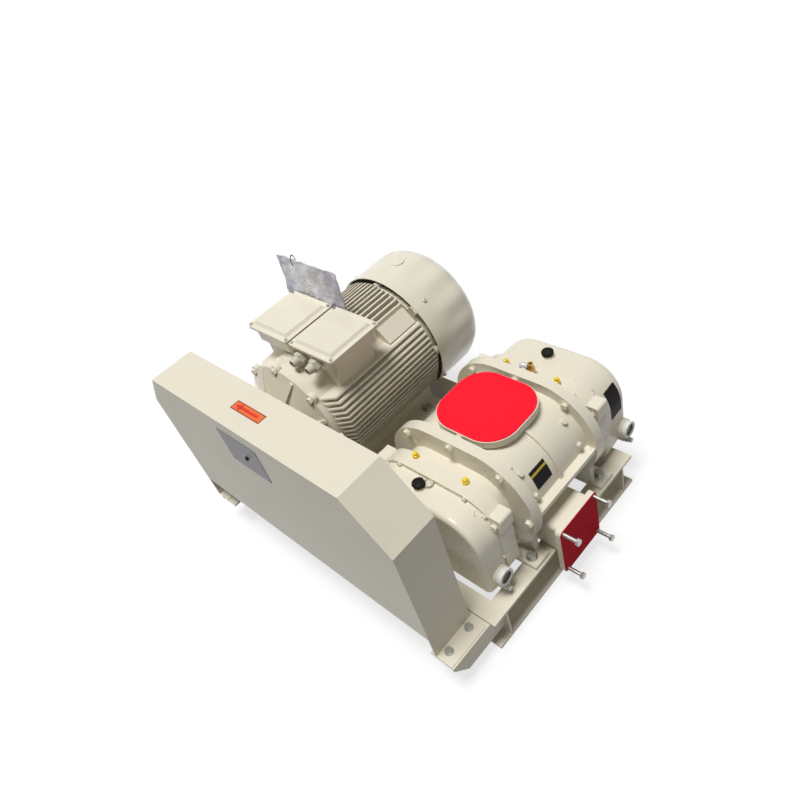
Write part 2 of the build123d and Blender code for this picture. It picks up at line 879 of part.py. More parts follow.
# ---------------------------------------------------------------- motor end shields
shaft_hole_top = motor_axis_height + motor_shaft_radius + shaft_running_clearance
lug_reach = cowl_radius - cowl_sheet - shield_radius + 20
for name, face_y, outward, hub_reach in (
    ("motor_drive_shield", motor_frame_front, -1, drive_hub_length),
    ("motor_fan_shield", motor_frame_back, 1, fan_hub_length),
):
    with BuildPart() as shield:
        with BuildSketch(Plane.YZ.offset(motor_x)):
            with BuildLine():
                Polyline(
                    (face_y, motor_axis_height + bearing_bore),
                    (face_y, motor_axis_height + shield_radius),
                    (face_y + outward * shield_rim, motor_axis_height + shield_radius),
                    (face_y + outward * (shield_rim + 10), motor_axis_height + shield_radius - 22),
                    (face_y + outward * (hub_reach - 26), motor_axis_height + shield_hub + 14),
                    (face_y + outward * hub_reach, motor_axis_height + shield_hub),
                    (face_y + outward * hub_reach, shaft_hole_top),
                    (face_y + outward * (hub_reach - shield_lip), shaft_hole_top),
                    (face_y + outward * (hub_reach - shield_lip), motor_axis_height + bearing_bore),
                    close=True,
                )
            make_face()
        revolve(axis=Axis((motor_x, 0, motor_axis_height), (0, 1, 0)), revolution_arc=360)
        # bolting lugs round the rim
        with BuildSketch(motor_plane(face_y + (shield_rim if outward > 0 else 0))):
            with PolarLocations(shield_bolt_radius, shield_bolts):
                Circle(shield_lug)
        extrude(amount=shield_rim)
        with BuildSketch(motor_plane(face_y + (shield_rim if outward > 0 else 0))):
            with PolarLocations(shield_bolt_radius, shield_bolts):
                Circle(m12 / 2 + bolt_hole_clearance)
        extrude(amount=shield_rim, mode=Mode.SUBTRACT)
        # stiffening ribs on the cone
        for k in range(shield_ribs):
            rib_plane = Plane(
                origin=(motor_x, 0, motor_axis_height),
                x_dir=(0, 1, 0),
                z_dir=(-sin(2 * pi * (k + 0.5) / shield_ribs), 0, cos(2 * pi * (k + 0.5) / shield_ribs)),
            )
            with BuildSketch(rib_plane):
                with BuildLine():
                    Polyline(
                        (face_y + outward * shield_rim, -(shield_hub + 10)),
                        (face_y + outward * shield_rim, -(shield_radius - 6)),
                        (face_y + outward * (shield_rim + 8), -(shield_radius - 6)),
                        (face_y + outward * (hub_reach - 6), -(shield_hub + 4)),
                        (face_y + outward * (hub_reach - 6), -(shield_hub - 10)),
                        close=True,
                    )
                make_face()
            extrude(amount=rib_thickness / 2, both=True)
        # spot faces give the bolt heads room
        with BuildSketch(motor_plane(face_y + outward * shield_rim)):
            with PolarLocations(shield_bolt_radius, shield_bolts):
                Circle(shield_spot_face)
        extrude(amount=-outward * drive_hub_length, mode=Mode.SUBTRACT)
        if name == "motor_fan_shield":
            # lugs that carry the fan cowl
            for k in range(cowl_screws):
                turn = 2 * pi * (k + 0.5) / cowl_screws
                lug_plane = Plane(
                    origin=(motor_x, face_y + shield_rim, motor_axis_height),
                    x_dir=(cos(turn), 0, sin(turn)),
                    z_dir=(0, -1, 0),
                )
                with BuildSketch(lug_plane):
                    with Locations((shield_radius - 20, 0)):
                        Rectangle(lug_reach, cowl_lug, align=(Align.MIN, Align.CENTER))
                extrude(amount=shield_rim)
            with BuildSketch(motor_plane(face_y + shield_rim)):
                Circle(motor_envelope_radius + 30)
                Circle(cowl_radius - cowl_sheet, mode=Mode.SUBTRACT)
            extrude(amount=shield_rim, mode=Mode.SUBTRACT)
    save(shield.part, name)

# clear bag of papers that stands on the fins and leans away from the terminal boxes
bag_front = box_y + lid_size / 2 + bag_gap
bag_bottom = motor_axis_height + motor_envelope_radius + bag_gap
with BuildPart() as document_bag:
    with BuildSketch(Plane.YZ.offset(bag_center_x - bag_length / 2)):
        with BuildLine():
            Polyline(
                (bag_front, bag_bottom),
                (bag_front + bag_thickness, bag_bottom),
                (bag_front + bag_thickness + bag_lean, bag_top),
                (bag_front + bag_lean, bag_top),
                close=True,
            )
        make_face()
    extrude(amount=bag_length)
save(document_bag.part, "document_bag")

with BuildPart() as shield_bolts_group:
    for spot in PolarLocations(shield_bolt_radius, shield_bolts).local_locations:
        x, z = spot.position.X, spot.position.Y
        head = Plane(
            origin=(motor_x + x, motor_frame_front - shield_rim, motor_axis_height + z),
            x_dir=(1, 0, 0),
            z_dir=(0, -1, 0),
        )
        add(head * hex_bolt(m12, shield_rim))
save(shield_bolts_group.part, "drive_shield_bolts")

# ---------------------------------------------------------------- motor inside
with BuildPart() as stator:
    with BuildSketch(motor_plane(stator_back)):
        Circle(motor_bore_radius)
        Circle(rotor_core_radius + air_gap, mode=Mode.SUBTRACT)
    extrude(amount=stator_length)
save(stator.part, "stator_core")
with BuildPart() as windings:
    for end_back in (stator_back + winding_overhang, stator_back - stator_length):
        with BuildSketch(motor_plane(end_back)):
            Circle(motor_bore_radius - 8)
            Circle(rotor_core_radius + air_gap + 6, mode=Mode.SUBTRACT)
        extrude(amount=winding_overhang)
save(windings.part, "stator_windings")
with BuildPart() as rotor_core:
    with BuildSketch(motor_plane(stator_back)):
        Circle(rotor_core_radius)
        Circle(motor_shaft_radius + 8, mode=Mode.SUBTRACT)
    extrude(amount=stator_length)
save(rotor_core.part, "motor_rotor_core")
with BuildPart() as motor_shaft:
    with BuildSketch(motor_plane(motor_shaft_back)):
        Circle(motor_shaft_radius)
    extrude(amount=motor_shaft_back - motor_shaft_front)
    with BuildSketch(motor_plane(stator_back)):
        Circle(motor_shaft_radius + 8)
    extrude(amount=stator_length)
save(motor_shaft.part, "motor_shaft")
with BuildPart() as motor_bearings:
    for back in (
        motor_frame_front - drive_hub_length + shield_lip + motor_bearing_width,
        motor_frame_back + fan_hub_length - shield_lip,
    ):
        with BuildSketch(motor_plane(back)):
            Circle(bearing_bore)
            Circle(motor_shaft_radius + shaft_running_clearance, mode=Mode.SUBTRACT)
        extrude(amount=motor_bearing_width)
save(motor_bearings.part, "motor_bearings")

# ---------------------------------------------------------------- fan and cowl
with BuildPart() as fan:
    with BuildSketch(motor_plane(fan_front + fan_width)):
        Circle(fan_hub_radius)
    extrude(amount=fan_width)
    with BuildSketch(motor_plane(fan_front + fan_plate)):
        Circle(fan_radius)
    extrude(amount=fan_plate)
    with BuildSketch(motor_plane(fan_front + fan_width)):
        with PolarLocations((fan_radius + fan_hub_radius) / 2 - 2, fan_blades):
            Rectangle(fan_radius - fan_hub_radius + 2, fan_plate)
    extrude(amount=fan_width)
    with BuildSketch(motor_plane(fan_front + fan_width)):
        Circle(motor_shaft_radius)
    extrude(amount=fan_width, mode=Mode.SUBTRACT)
save(fan.part, "cooling_fan")

with BuildPart() as cowl:
    with BuildSketch(motor_plane(cowl_front + cowl_length)):
        Circle(cowl_radius)
    extrude(amount=cowl_length)
    fillet(cowl.faces().sort_by(Axis.Y)[-1].edges(), cowl_round)
    offset(amount=-cowl_sheet, openings=cowl.faces().sort_by(Axis.Y)[0])
    with BuildSketch(motor_plane(cowl_front + cowl_length)):
        for row in range(grille_rows):
            with PolarLocations(grille_first + row * grille_pitch, grille_holes + row * grille_holes_step):
                Rectangle(grille_slot_height, grille_slot_width)
    extrude(amount=3 * cowl_sheet, mode=Mode.SUBTRACT)
save(cowl.part, "fan_cowl")

# ---------------------------------------------------------------- terminal boxes
box_centers = [motor_x - box_spacing / 2, motor_x + box_spacing / 2]
box_top = pedestal_top + box_height
for name, x in zip(("terminal_box_left", "terminal_box_right"), box_centers):
    with BuildPart() as box:
        with BuildSketch(Plane.XY.offset(pedestal_top)):
            with Locations((x, box_y)):
                RectangleRounded(box_size - 12, box_size - 12, box_corner)
        extrude(amount=box_height, taper=-box_draft)
        offset(amount=-box_wall, openings=box.faces().sort_by(Axis.Z)[-1])
        if name == "terminal_box_right":
            with BuildSketch(across(box_y)):
                with Locations(*[(gx, gland_height) for gx in gland_xs]):
                    Circle(gland_thread)
            extrude(amount=box_size, mode=Mode.SUBTRACT)
    save(box.part, name)
for name, x in zip(("box_lid_left", "box_lid_right"), box_centers):
    with BuildPart() as lid:
        with BuildSketch(Plane.XY.offset(box_top)):
            with Locations((x, box_y)):
                RectangleRounded(lid_size, lid_size, box_corner)
        extrude(amount=lid_rim)
        with BuildSketch(Plane.XY.offset(box_top + lid_rim)):
            with Locations((x, box_y)):
                Rectangle(lid_raised, lid_raised)
        extrude(amount=lid_crown, taper=lid_bevel)
        with BuildSketch(Plane.XY.offset(box_top + lid_rim)):
            with Locations((x, box_y)):
                with GridLocations(lid_screw_spacing, lid_screw_spacing, 2, 2):
                    Circle(lid_screw)
        extrude(amount=-lid_rim, mode=Mode.SUBTRACT)
    save(lid.part, name)
with BuildPart() as lid_screws:
    with Locations(*[(x, box_y, box_top + lid_rim) for x in box_centers]):
        with GridLocations(lid_screw_spacing, lid_screw_spacing, 2, 2):
            Cylinder(lid_screw * 1.8, lid_screw_head, align=(Align.CENTER, Align.CENTER, Align.MIN))
            Cylinder(lid_screw, lid_rim, align=(Align.CENTER, Align.CENTER, Align.MAX))
save(lid_screws.part, "lid_screws")
gland_face = box_y - (box_size - 12) / 2
with BuildPart() as glands:
    for gx in gland_xs:
        gland_plane = Plane(origin=(gx, gland_face, gland_height), x_dir=(1, 0, 0), z_dir=(0, -1, 0))
        with BuildSketch(gland_plane.offset(gland_stand)):
            RegularPolygon(gland_flats / 2, 6, major_radius=False)
        extrude(amount=gland_hex)
        with BuildSketch(gland_plane.offset(-box_wall)):
            Circle(gland_thread)
        extrude(amount=box_wall + gland_stand)
        with BuildSketch(gland_plane.offset(gland_stand + gland_hex)):
            Circle(gland_flats / 2 - 2)
        extrude(amount=gland_dome, taper=12)
        with BuildSketch(gland_plane.offset(gland_stand + gland_hex + gland_dome)):
            Circle(gland_bore)
        extrude(amount=-(box_wall + gland_stand + gland_hex + gland_dome), mode=Mode.SUBTRACT)
save(glands.part, "cable_glands")

# ---------------------------------------------------------------- sheaves, bushes and belts
groove_slope = tan(radians(groove_angle / 2))
groove_top = belt_top_width / 2 + belt_clearance / cos(radians(groove_angle / 2))
belt_ys = [sheave_center_y + belt_pitch * (i - (belt_count - 1) / 2) for i in range(belt_count)]
sheave_width = belt_pitch * belt_count + 6


def sheave(x, z, radius, bush_radius, name):
    """Grooved belt wheel turned about an axis along Y, with a taper seat for its bush."""
    front = sheave_center_y - sheave_width / 2
    back = sheave_center_y + sheave_width / 2
    with BuildPart() as wheel:
        with BuildSketch(Plane(origin=(x, 0, z), x_dir=(0, 1, 0), z_dir=(1, 0, 0))):
            with BuildLine():
                rim = [(front, radius)]
                for y in belt_ys:
                    bottom = groove_top - groove_depth * groove_slope
                    rim += [
                        (y - groove_top, radius), (y - bottom, radius - groove_depth),
                        (y + bottom, radius - groove_depth), (y + groove_top, radius),
                    ]
                rim += [(back, radius), (back, bush_radius), (front, bush_radius + bush_taper)]
                Polyline(*rim, close=True)
            make_face()
        revolve(axis=Axis((x, 0, z), (0, 1, 0)), revolution_arc=360)
        # lightening recess in the outer face
        with BuildSketch(Plane(origin=(x, front, z), x_dir=(1, 0, 0), z_dir=(0, -1, 0))):
            Circle(radius - groove_depth - rim_wall)
            Circle(bush_radius + rim_wall, mode=Mode.SUBTRACT)
        extrude(amount=-sheave_recess, mode=Mode.SUBTRACT)
    save(wheel.part, name)


def taper_bush(x, z, shaft_radius, bush_radius, name):
    """Conical split bush that locks a sheave to its shaft."""
    front = sheave_center_y - sheave_width / 2
    back = sheave_center_y + sheave_width / 2
    with BuildPart() as bush:
        with BuildSketch(Plane(origin=(x, 0, z), x_dir=(0, 1, 0), z_dir=(1, 0, 0))):
            with BuildLine():
                Polyline(
                    (front, shaft_radius), (front, bush_radius + bush_taper),
                    (back, bush_radius), (back, shaft_radius),
                    close=True,
                )
            make_face()
        revolve(axis=Axis((x, 0, z), (0, 1, 0)), revolution_arc=360)
        with BuildSketch(Plane(origin=(x, front, z), x_dir=(1, 0, 0), z_dir=(0, -1, 0))):
            with Locations((shaft_radius + 8, 0)):
                Rectangle(20, bush_split)
        extrude(amount=-sheave_width, mode=Mode.SUBTRACT)
    save(bush.part, name)


sheave(motor_x, motor_axis_height, motor_sheave_radius, motor_bush_radius, "motor_sheave")
taper_bush(motor_x, motor_axis_height, motor_shaft_radius, motor_bush_radius, "motor_taper_bush")
sheave(drive_shaft_x, pump_shaft_height, pump_sheave_radius, pump_bush_radius, "pump_sheave")
taper_bush(drive_shaft_x, pump_shaft_height, rotor_shaft_radius, pump_bush_radius, "pump_taper_bush")

# open belt loop: two straight runs and an arc round each sheave, at the belt's top face
run_x = drive_shaft_x - motor_x
run_z = pump_shaft_height - motor_axis_height
run_length = sqrt(run_x**2 + run_z**2)
run_angle = atan2(run_z, run_x)
lean = acos((motor_sheave_radius - pump_sheave_radius) / run_length)


def belt_section(x, z, radius, turn, y):
    """Wedge section of one belt on the ray at turn from a sheave's axis."""
    top = (radius * cos(turn) + x, radius * sin(turn) + z)
    ray = Plane(origin=(top[0], y, top[1]), x_dir=(0, 1, 0), z_dir=(sin(turn), 0, -cos(turn)))
    half_top = belt_top_width / 2 + belt_proud * groove_slope
    half_bottom = half_top - belt_depth * groove_slope
    with BuildSketch(ray) as wedge:
        with BuildLine():
            Polyline(
                (-half_top, 0), (half_top, 0), (half_bottom, -belt_depth), (-half_bottom, -belt_depth),
                close=True,
            )
        make_face()
    return wedge.sketch


upper_turn = run_angle + lean
lower_turn = run_angle - lean
straight = sqrt(run_length**2 - (motor_sheave_radius - pump_sheave_radius) ** 2)
with BuildPart() as belts:
    for y in belt_ys:
        for x, z, radius, turn, wrap in (
            (motor_x, motor_axis_height, motor_sheave_radius + belt_proud, upper_turn, 2 * pi - 2 * lean),
            (drive_shaft_x, pump_shaft_height, pump_sheave_radius + belt_proud, lower_turn, 2 * lean),
        ):
            wedge = belt_section(x, z, radius, turn, y)
            revolve(wedge, axis=Axis((x, y, z), (0, -1, 0)), revolution_arc=degrees(wrap))
        for x, z, radius, turn, way in (
            (motor_x, motor_axis_height, motor_sheave_radius + belt_proud, upper_turn, 1),
            (motor_x, motor_axis_height, motor_sheave_radius + belt_proud, lower_turn, -1),
        ):
            wedge = belt_section(x, z, radius, turn, y)
            extrude(wedge, amount=way * straight)
save(belts.part, "v_belts")

# ---------------------------------------------------------------- guard
guard_back_y = guard_front_y + guard_depth


guard_points = [
    (guard_motor_end, guard_tab_height),
    (guard_motor_end, guard_top - guard_motor_chamfer_z),
    (guard_motor_end + guard_motor_chamfer_x, guard_top),
    (guard_pump_end - guard_pump_chamfer_x, guard_top),
    (guard_pump_end, guard_top - guard_pump_chamfer_z),
    (guard_pump_end, guard_tab_height),
]
with BuildPart() as guard:
    with BuildSketch(across(guard_back_y)):
        with BuildLine():
            Polyline(*guard_points, close=True)
        make_face()
    extrude(amount=guard_depth)
    offset(
        amount=-guard_sheet,
        openings=[guard.faces().sort_by(Axis.Y)[-1], guard.faces().sort_by(Axis.Z)[0]],
    )
    # the front panel stops above the tabs
    with BuildSketch(across(guard_front_y + guard_sheet)):
        with Locations(((guard_motor_end + guard_pump_end) / 2, guard_tab_height)):
            Rectangle(
                guard_pump_end - guard_motor_end - 2 * guard_sheet,
                guard_front_bottom - guard_tab_height,
                align=(Align.CENTER, Align.MIN),
            )
    extrude(amount=guard_sheet, mode=Mode.SUBTRACT)
    # tabs bolted to the brackets
    with BuildSketch(Plane.XY.offset(guard_tab_height)):
        with Locations((guard_pump_end - guard_sheet, guard_front_y)):
            Rectangle(guard_tab_length + guard_sheet, guard_depth, align=(Align.MIN, Align.MIN))
        with Locations((guard_motor_end, guard_front_y)):
            Rectangle(guard_tab_length + guard_sheet, guard_depth, align=(Align.MIN, Align.MIN))
        with Locations(*[(side * guard_bolt_x, y) for side in (-1, 1) for y in guard_bolt_ys]):
            SlotOverall(guard_slot, m12 + 2, mode=Mode.SUBTRACT)
    extrude(amount=guard_sheet)
save(guard.part, "belt_guard")

with BuildPart() as guard_back:
    with BuildSketch(across(guard_back_y)):
        with BuildLine():
            Polyline(
                *[
                    (x + (guard_sheet if x < 0 else -guard_sheet), z - guard_sheet * (z > guard_tab_height))
                    for x, z in guard_points
                ],
                close=True,
            )
        make_face()
        with Locations((0, guard_tab_height)):
            Rectangle(
                2 * base_length, guard_back_bottom - guard_tab_height, align=(Align.CENTER, Align.MIN),
                mode=Mode.SUBTRACT,
            )
        with Locations((motor_x, motor_axis_height)):
            SlotOverall(motor_opening + slide_travel, motor_opening, mode=Mode.SUBTRACT)
        with Locations((drive_shaft_x, pump_shaft_height)):
            Circle(pump_opening, mode=Mode.SUBTRACT)
    extrude(amount=guard_sheet)
save(guard_back.part, "guard_back_plate")

with BuildPart() as guard_window:
    with BuildSketch(across(guard_front_y)):
        with Locations((window_x, window_z)):
            Rectangle(window_length, window_height)
    extrude(amount=window_thickness)
save(guard_window.part, "guard_window")

with BuildPart() as guard_bolts:
    for x, y in [(side * guard_bolt_x, y) for side in (-1, 1) for y in guard_bolt_ys]:
        add(Pos(x, y, guard_tab_height + guard_sheet) * hex_bolt(m12, bracket_plate + guard_sheet + 14))
save(guard_bolts.part, "guard_bolts")

# ---------------------------------------------------------------- motor rails and foot bolts
with BuildPart() as rails:
    for k in (0, 1):
        rail_y = first_foot_y + k * foot_spacing_along
        with BuildSketch(Plane.XY.offset(channel_height)):
            with Locations((rail_start, rail_y)):
                Rectangle(rail_length, rail_width, align=(Align.MIN, Align.CENTER))
            with Locations(*[(motor_x + side * foot_spacing_across / 2, rail_y) for side in (-1, 1)]):
                SlotOverall(slide_travel, m16 + 2, mode=Mode.SUBTRACT)
        extrude(amount=rail_height)
save(rails.part, "motor_slide_rails")
with BuildPart() as motor_foot_bolts:
    for x, y in motor_foot_spots:
        seat_height = channel_height + rail_height + foot_plate
        add(Pos(x, y, seat_height) * hex_bolt(m16, foot_plate + rail_height - 1))
save(motor_foot_bolts.part, "motor_foot_bolts")
with BuildPart() as pump_foot_bolts:
    for x, y in foot_spots:
        add(Pos(x, y, channel_height + pump_foot_thickness) * hex_bolt(m16, pump_foot_thickness - 1))
save(pump_foot_bolts.part, "pump_foot_bolts")

# ---------------------------------------------------------------- pump fasteners and fittings
with BuildPart() as plate_bolts:
    for dx, dz in flange_bolts:
        for face_y, outward in ((casing_front - plate_flange, -1), (casing_back + plate_flange, 1)):
            seat = Plane(
                origin=(pump_x + dx, face_y, pump_shaft_height + dz), x_dir=(1, 0, 0), z_dir=(0, outward, 0)
            )
            add(seat * hex_bolt(m12, plate_flange))
save(plate_bolts.part, "side_plate_bolts")

with BuildPart() as vent_plugs:
    for y in vent_ys:
        for x in vent_xs:
            with Locations((x, y, rim_top)):
                Cylinder(vent_radius, vent_height, align=(Align.CENTER, Align.CENTER, Align.MIN))
                Cylinder(vent_radius * 0.7, vent_height + 4, align=(Align.CENTER, Align.CENTER, Align.MIN))
save(vent_plugs.part, "vent_plugs")

with BuildPart() as filler_caps:
    for x, y, z in ((near_cap_x, near_cap_y, near_cap_z), (far_cap_x, far_cap_y, far_cap_z)):
        with Locations((x, y, z)):
            Cylinder(cap_radius - 4, cap_height / 2, align=(Align.CENTER, Align.CENTER, Align.MIN))
        with Locations((x, y, z + cap_height / 2)):
            Cylinder(cap_radius, cap_height, align=(Align.CENTER, Align.CENTER, Align.MIN))
save(filler_caps.part, "oil_filler_caps")

with BuildPart() as glass_rings:
    for y, z in sight_spots:
        with BuildSketch(Plane.YZ.offset(sight_face_x)):
            with Locations((y, z)):
                Circle(sight_ring)
                Circle(sight_glass, mode=Mode.SUBTRACT)
        extrude(amount=sight_depth)
save(glass_rings.part, "sight_glass_rings")
with BuildPart() as glasses:
    for y, z in sight_spots:
        with BuildSketch(Plane.YZ.offset(sight_face_x)):
            with Locations((y, z)):
                Circle(sight_glass)
        extrude(amount=sight_depth - 4)
save(glasses.part, "sight_glasses")

with BuildPart() as drains:
    for y, z in drain_spots:
        with BuildSketch(Plane.YZ.offset(sight_face_x)):
            with Locations((y, z)):
                Circle(drain_boss)
        extrude(amount=drain_boss_depth)
        with BuildSketch(Plane.YZ.offset(sight_face_x + drain_boss_depth)):
            with Locations((y, z)):
                RegularPolygon(drain_boss - 2, 6)
        extrude(amount=drain_head)
save(drains.part, "drain_plugs")

with BuildPart() as inlet_cover:
    with BuildSketch(Plane.XY.offset(inlet_height)):
        with Locations((pump_x, casing_middle)):
            RectangleRounded(
                inlet_length - 2 * inlet_cover_inset, inlet_width - 2 * inlet_cover_inset,
                inlet_corner - inlet_cover_inset,
            )
    extrude(amount=inlet_cover_thickness)
save(inlet_cover.part, "inlet_cover")

with BuildPart() as outlet_film:
    with BuildSketch(Plane.YZ.offset(discharge_face_x)):
        with Locations((discharge_y, discharge_z)):
            RectangleRounded(discharge_width - 2, discharge_height - 2, discharge_corner)
            with GridLocations(outlet_bolt_y, outlet_bolt_z, 2, 2):
                Circle(m12 / 2 + bolt_hole_clearance, mode=Mode.SUBTRACT)
    extrude(amount=film)
save(outlet_film.part, "outlet_cover")

with BuildPart() as outlet_bolts:
    for i in (-1, 1):
        for j in (-1, 1):
            tip = Plane(
                origin=(
                    discharge_face_x + film + outlet_bolt_stand,
                    discharge_y + i * outlet_bolt_y / 2,
                    discharge_z + j * outlet_bolt_z / 2,
                ),
                x_dir=(0, 1, 0),
                z_dir=(1, 0, 0),
            )
            add(tip * hex_bolt(m12, outlet_bolt_stand + film, washer=False))
save(outlet_bolts.part, "outlet_bolts")

with BuildPart() as gauge_fitting:
    with Locations((fitting_x, fitting_y, fitting_z)):
        Cylinder(9, 12, align=(Align.CENTER, Align.CENTER, Align.MIN))
    with BuildSketch(Plane.XY.offset(fitting_z + 12)):
        with Locations((fitting_x, fitting_y)):
            RegularPolygon(13, 6)
    extrude(amount=12)
    with Locations((fitting_x, fitting_y, fitting_z + 24)):
        Cylinder(9, 16, align=(Align.CENTER, Align.CENTER, Align.MIN))
        Cylinder(5, 16, align=(Align.CENTER, Align.CENTER, Align.MIN), mode=Mode.SUBTRACT)
save(gauge_fitting.part, "gauge_fitting")
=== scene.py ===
# %% [markdown]
# # Roots vacuum pump set
# A twin-shaft pump and its finned motor stand side by side on a channel base. This script dresses
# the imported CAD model: it lights it, gives every node a material, and models the small pieces that
# the solids leave out or plain, such as the label plates, the casing's nuts and the document bag.

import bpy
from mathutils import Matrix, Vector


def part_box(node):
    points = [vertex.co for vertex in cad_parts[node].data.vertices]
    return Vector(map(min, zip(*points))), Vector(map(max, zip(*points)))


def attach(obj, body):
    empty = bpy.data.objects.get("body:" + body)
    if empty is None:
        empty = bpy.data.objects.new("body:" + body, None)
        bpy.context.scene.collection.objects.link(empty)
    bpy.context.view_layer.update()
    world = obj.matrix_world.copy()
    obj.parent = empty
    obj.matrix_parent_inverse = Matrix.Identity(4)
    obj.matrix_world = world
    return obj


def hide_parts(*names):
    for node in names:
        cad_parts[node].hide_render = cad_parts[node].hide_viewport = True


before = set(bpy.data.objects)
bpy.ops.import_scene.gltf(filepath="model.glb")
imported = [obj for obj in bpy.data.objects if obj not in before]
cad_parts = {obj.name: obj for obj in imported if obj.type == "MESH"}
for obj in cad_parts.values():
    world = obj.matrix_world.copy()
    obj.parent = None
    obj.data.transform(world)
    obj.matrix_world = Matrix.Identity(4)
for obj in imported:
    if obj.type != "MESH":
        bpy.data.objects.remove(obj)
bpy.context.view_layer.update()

# %% [markdown]
# Angles, places and turns need the usual maths.

# %% Modules
from math import cos, radians, sin

import bpy
from mathutils import Matrix, Vector

# %% [markdown]
# The camera looks down on the pump's end of the set, a little tilted, with a slightly wide lens.
# Its place is in the same metres as the CAD, and its three axes come from two angles and the tilt.

# %% Camera
CAMERA_PLACE = Vector((1.3039, -0.8993, 1.7875))
AZIMUTH, ELEVATION, TILT = radians(55.9), radians(41.2), radians(19.2)
LENS = 31.63


def camera_turn(azimuth, elevation, tilt):
    """The camera's turn: it looks along -Z, and tilt leans its picture to the left."""
    back = Vector((sin(azimuth) * cos(elevation), -cos(azimuth) * cos(elevation), sin(elevation)))
    right = Vector((0, 0, 1)).cross(back).normalized()
    up = back.cross(right)
    tilted_right = right * cos(tilt) - up * sin(tilt)
    tilted_up = right * sin(tilt) + up * cos(tilt)
    return Matrix((tilted_right, tilted_up, back)).transposed()


lens_data = bpy.data.cameras.new("view")
lens_data.lens = LENS
lens_data.clip_start = 0.05
camera = bpy.data.objects.new("view", lens_data)
turn = camera_turn(AZIMUTH, ELEVATION, TILT)
camera.matrix_world = Matrix.Translation(CAMERA_PLACE) @ turn.to_4x4()
bpy.context.scene.collection.objects.link(camera)
bpy.context.scene.camera = camera
bpy.context.scene.view_settings.view_transform = "Standard"
print("camera at", [round(x, 3) for x in CAMERA_PLACE])

# %% [markdown]
# Shader maths reads best as sums, so one small class wraps a node socket and turns Python's
# operators into Math nodes. Every other node comes from one method that takes its type, its
# settings and its inputs.


# %% Shader maths
class Wire:
    """One output socket of a material, which can be used in sums."""

    def __init__(self, tree, socket):
        self.tree = tree
        self.socket = socket

    def math(self, operation, *others):
        node = self.tree.nodes.new("ShaderNodeMath")
        node.operation = operation
        for slot, value in zip(node.inputs, (self,) + others):
            plug(self.tree, slot, value)
        return Wire(self.tree, node.outputs[0])

    def __add__(self, other):
        return self.math("ADD", other)

    __radd__ = __add__

    def __mul__(self, other):
        return self.math("MULTIPLY", other)

    __rmul__ = __mul__

    def __sub__(self, other):
        return self.math("SUBTRACT", other)

    def __rsub__(self, other):
        return (self * -1) + other

    def clamp(self):
        return self.math("MAXIMUM", 0.0).math("MINIMUM", 1.0)


def plug(tree, slot, value):
    """Joins a wire to a socket, or writes a plain value on it."""
    if isinstance(value, Wire):
        tree.links.new(value.socket, slot)
    else:
        slot.default_value = value


class Paint:
    def __init__(self, name):
        self.material = bpy.data.materials.new(name)
        self.material.use_nodes = True
        self.tree = self.material.node_tree
        self.shader = self.tree.nodes["Principled BSDF"]

    def node(self, kind, settings=None, out=0, **inputs):
        node = self.tree.nodes.new(kind)
        for name, value in (settings or {}).items():
            setattr(node, name, value)
        for name, value in inputs.items():
            plug(self.tree, node.inputs[name.replace("_", " ")], value)
        return Wire(self.tree, node.outputs[out])

    def place(self):
        return self.node("ShaderNodeTexCoord", out=3)

    def noise(self, scale, detail=3.0, roughness=0.5, where=None):
        return self.node(
            "ShaderNodeTexNoise",
            Vector=where or self.place(),
            Scale=scale,
            Detail=detail,
            Roughness=roughness,
        )

    def ramp(self, fac, stops):
        node = self.tree.nodes.new("ShaderNodeValToRGB")
        for element, (position, value) in zip(node.color_ramp.elements, stops):
            element.position = position
            element.color = (value, value, value, 1)
        plug(self.tree, node.inputs["Fac"], fac)
        return Wire(self.tree, node.outputs["Color"])

    def blend(self, factor, first, second):
        node = self.tree.nodes.new("ShaderNodeMix")
        node.data_type = "RGBA"
        plug(self.tree, node.inputs[0], factor)
        plug(self.tree, node.inputs[6], first)
        plug(self.tree, node.inputs[7], second)
        return Wire(self.tree, node.outputs[2])

    def bump(self, height, strength, distance):
        node = self.tree.nodes.new("ShaderNodeBump")
        node.inputs["Strength"].default_value = strength
        node.inputs["Distance"].default_value = distance
        plug(self.tree, node.inputs["Height"], height)
        return Wire(self.tree, node.outputs["Normal"])

    def finish(self, **sockets):
        for name, value in sockets.items():
            plug(self.tree, self.shader.inputs[name.replace("_", " ")], value)
        return self.material


def shade(red, green, blue):
    """A colour with full alpha, from the three numbers that a shader works in."""
    return (red, green, blue, 1.0)


# %% [markdown]
# The whole set is sprayed with one cream enamel. On rolled channel and sheet it lies flat, so it
# gets a soft gloss and a fine orange peel. On castings a little of the sand's texture comes
# through, under a thin clear gloss. Everywhere the tone changes a little, as dust settles.

# %% Cream paints
CREAM = shade(0.745, 0.695, 0.565)
CREAM_DUSTY = shade(0.60, 0.55, 0.43)


def enamel(name, grain, depth, gloss, dust, coat):
    """Sprayed cream paint: grain is the texture's scale and depth its height in metres."""
    paint = Paint(name)
    clouds = paint.noise(9.0, detail=5.0)
    specks = paint.noise(160.0, detail=2.0)
    marks = paint.ramp(clouds, ((0.42, 0.0), (0.75, 1.0)))
    tone = paint.blend(marks * dust, CREAM, CREAM_DUSTY)
    peel = paint.noise(grain, detail=2.0)
    rough = specks * 0.10 + clouds * 0.12 + (gloss - 0.08)
    return paint.finish(
        Base_Color=tone,
        Roughness=rough,
        Normal=paint.bump(peel, 0.3, depth),
        Specular_IOR_Level=0.25,
        Coat_Weight=coat,
        Coat_Roughness=0.12,
    )


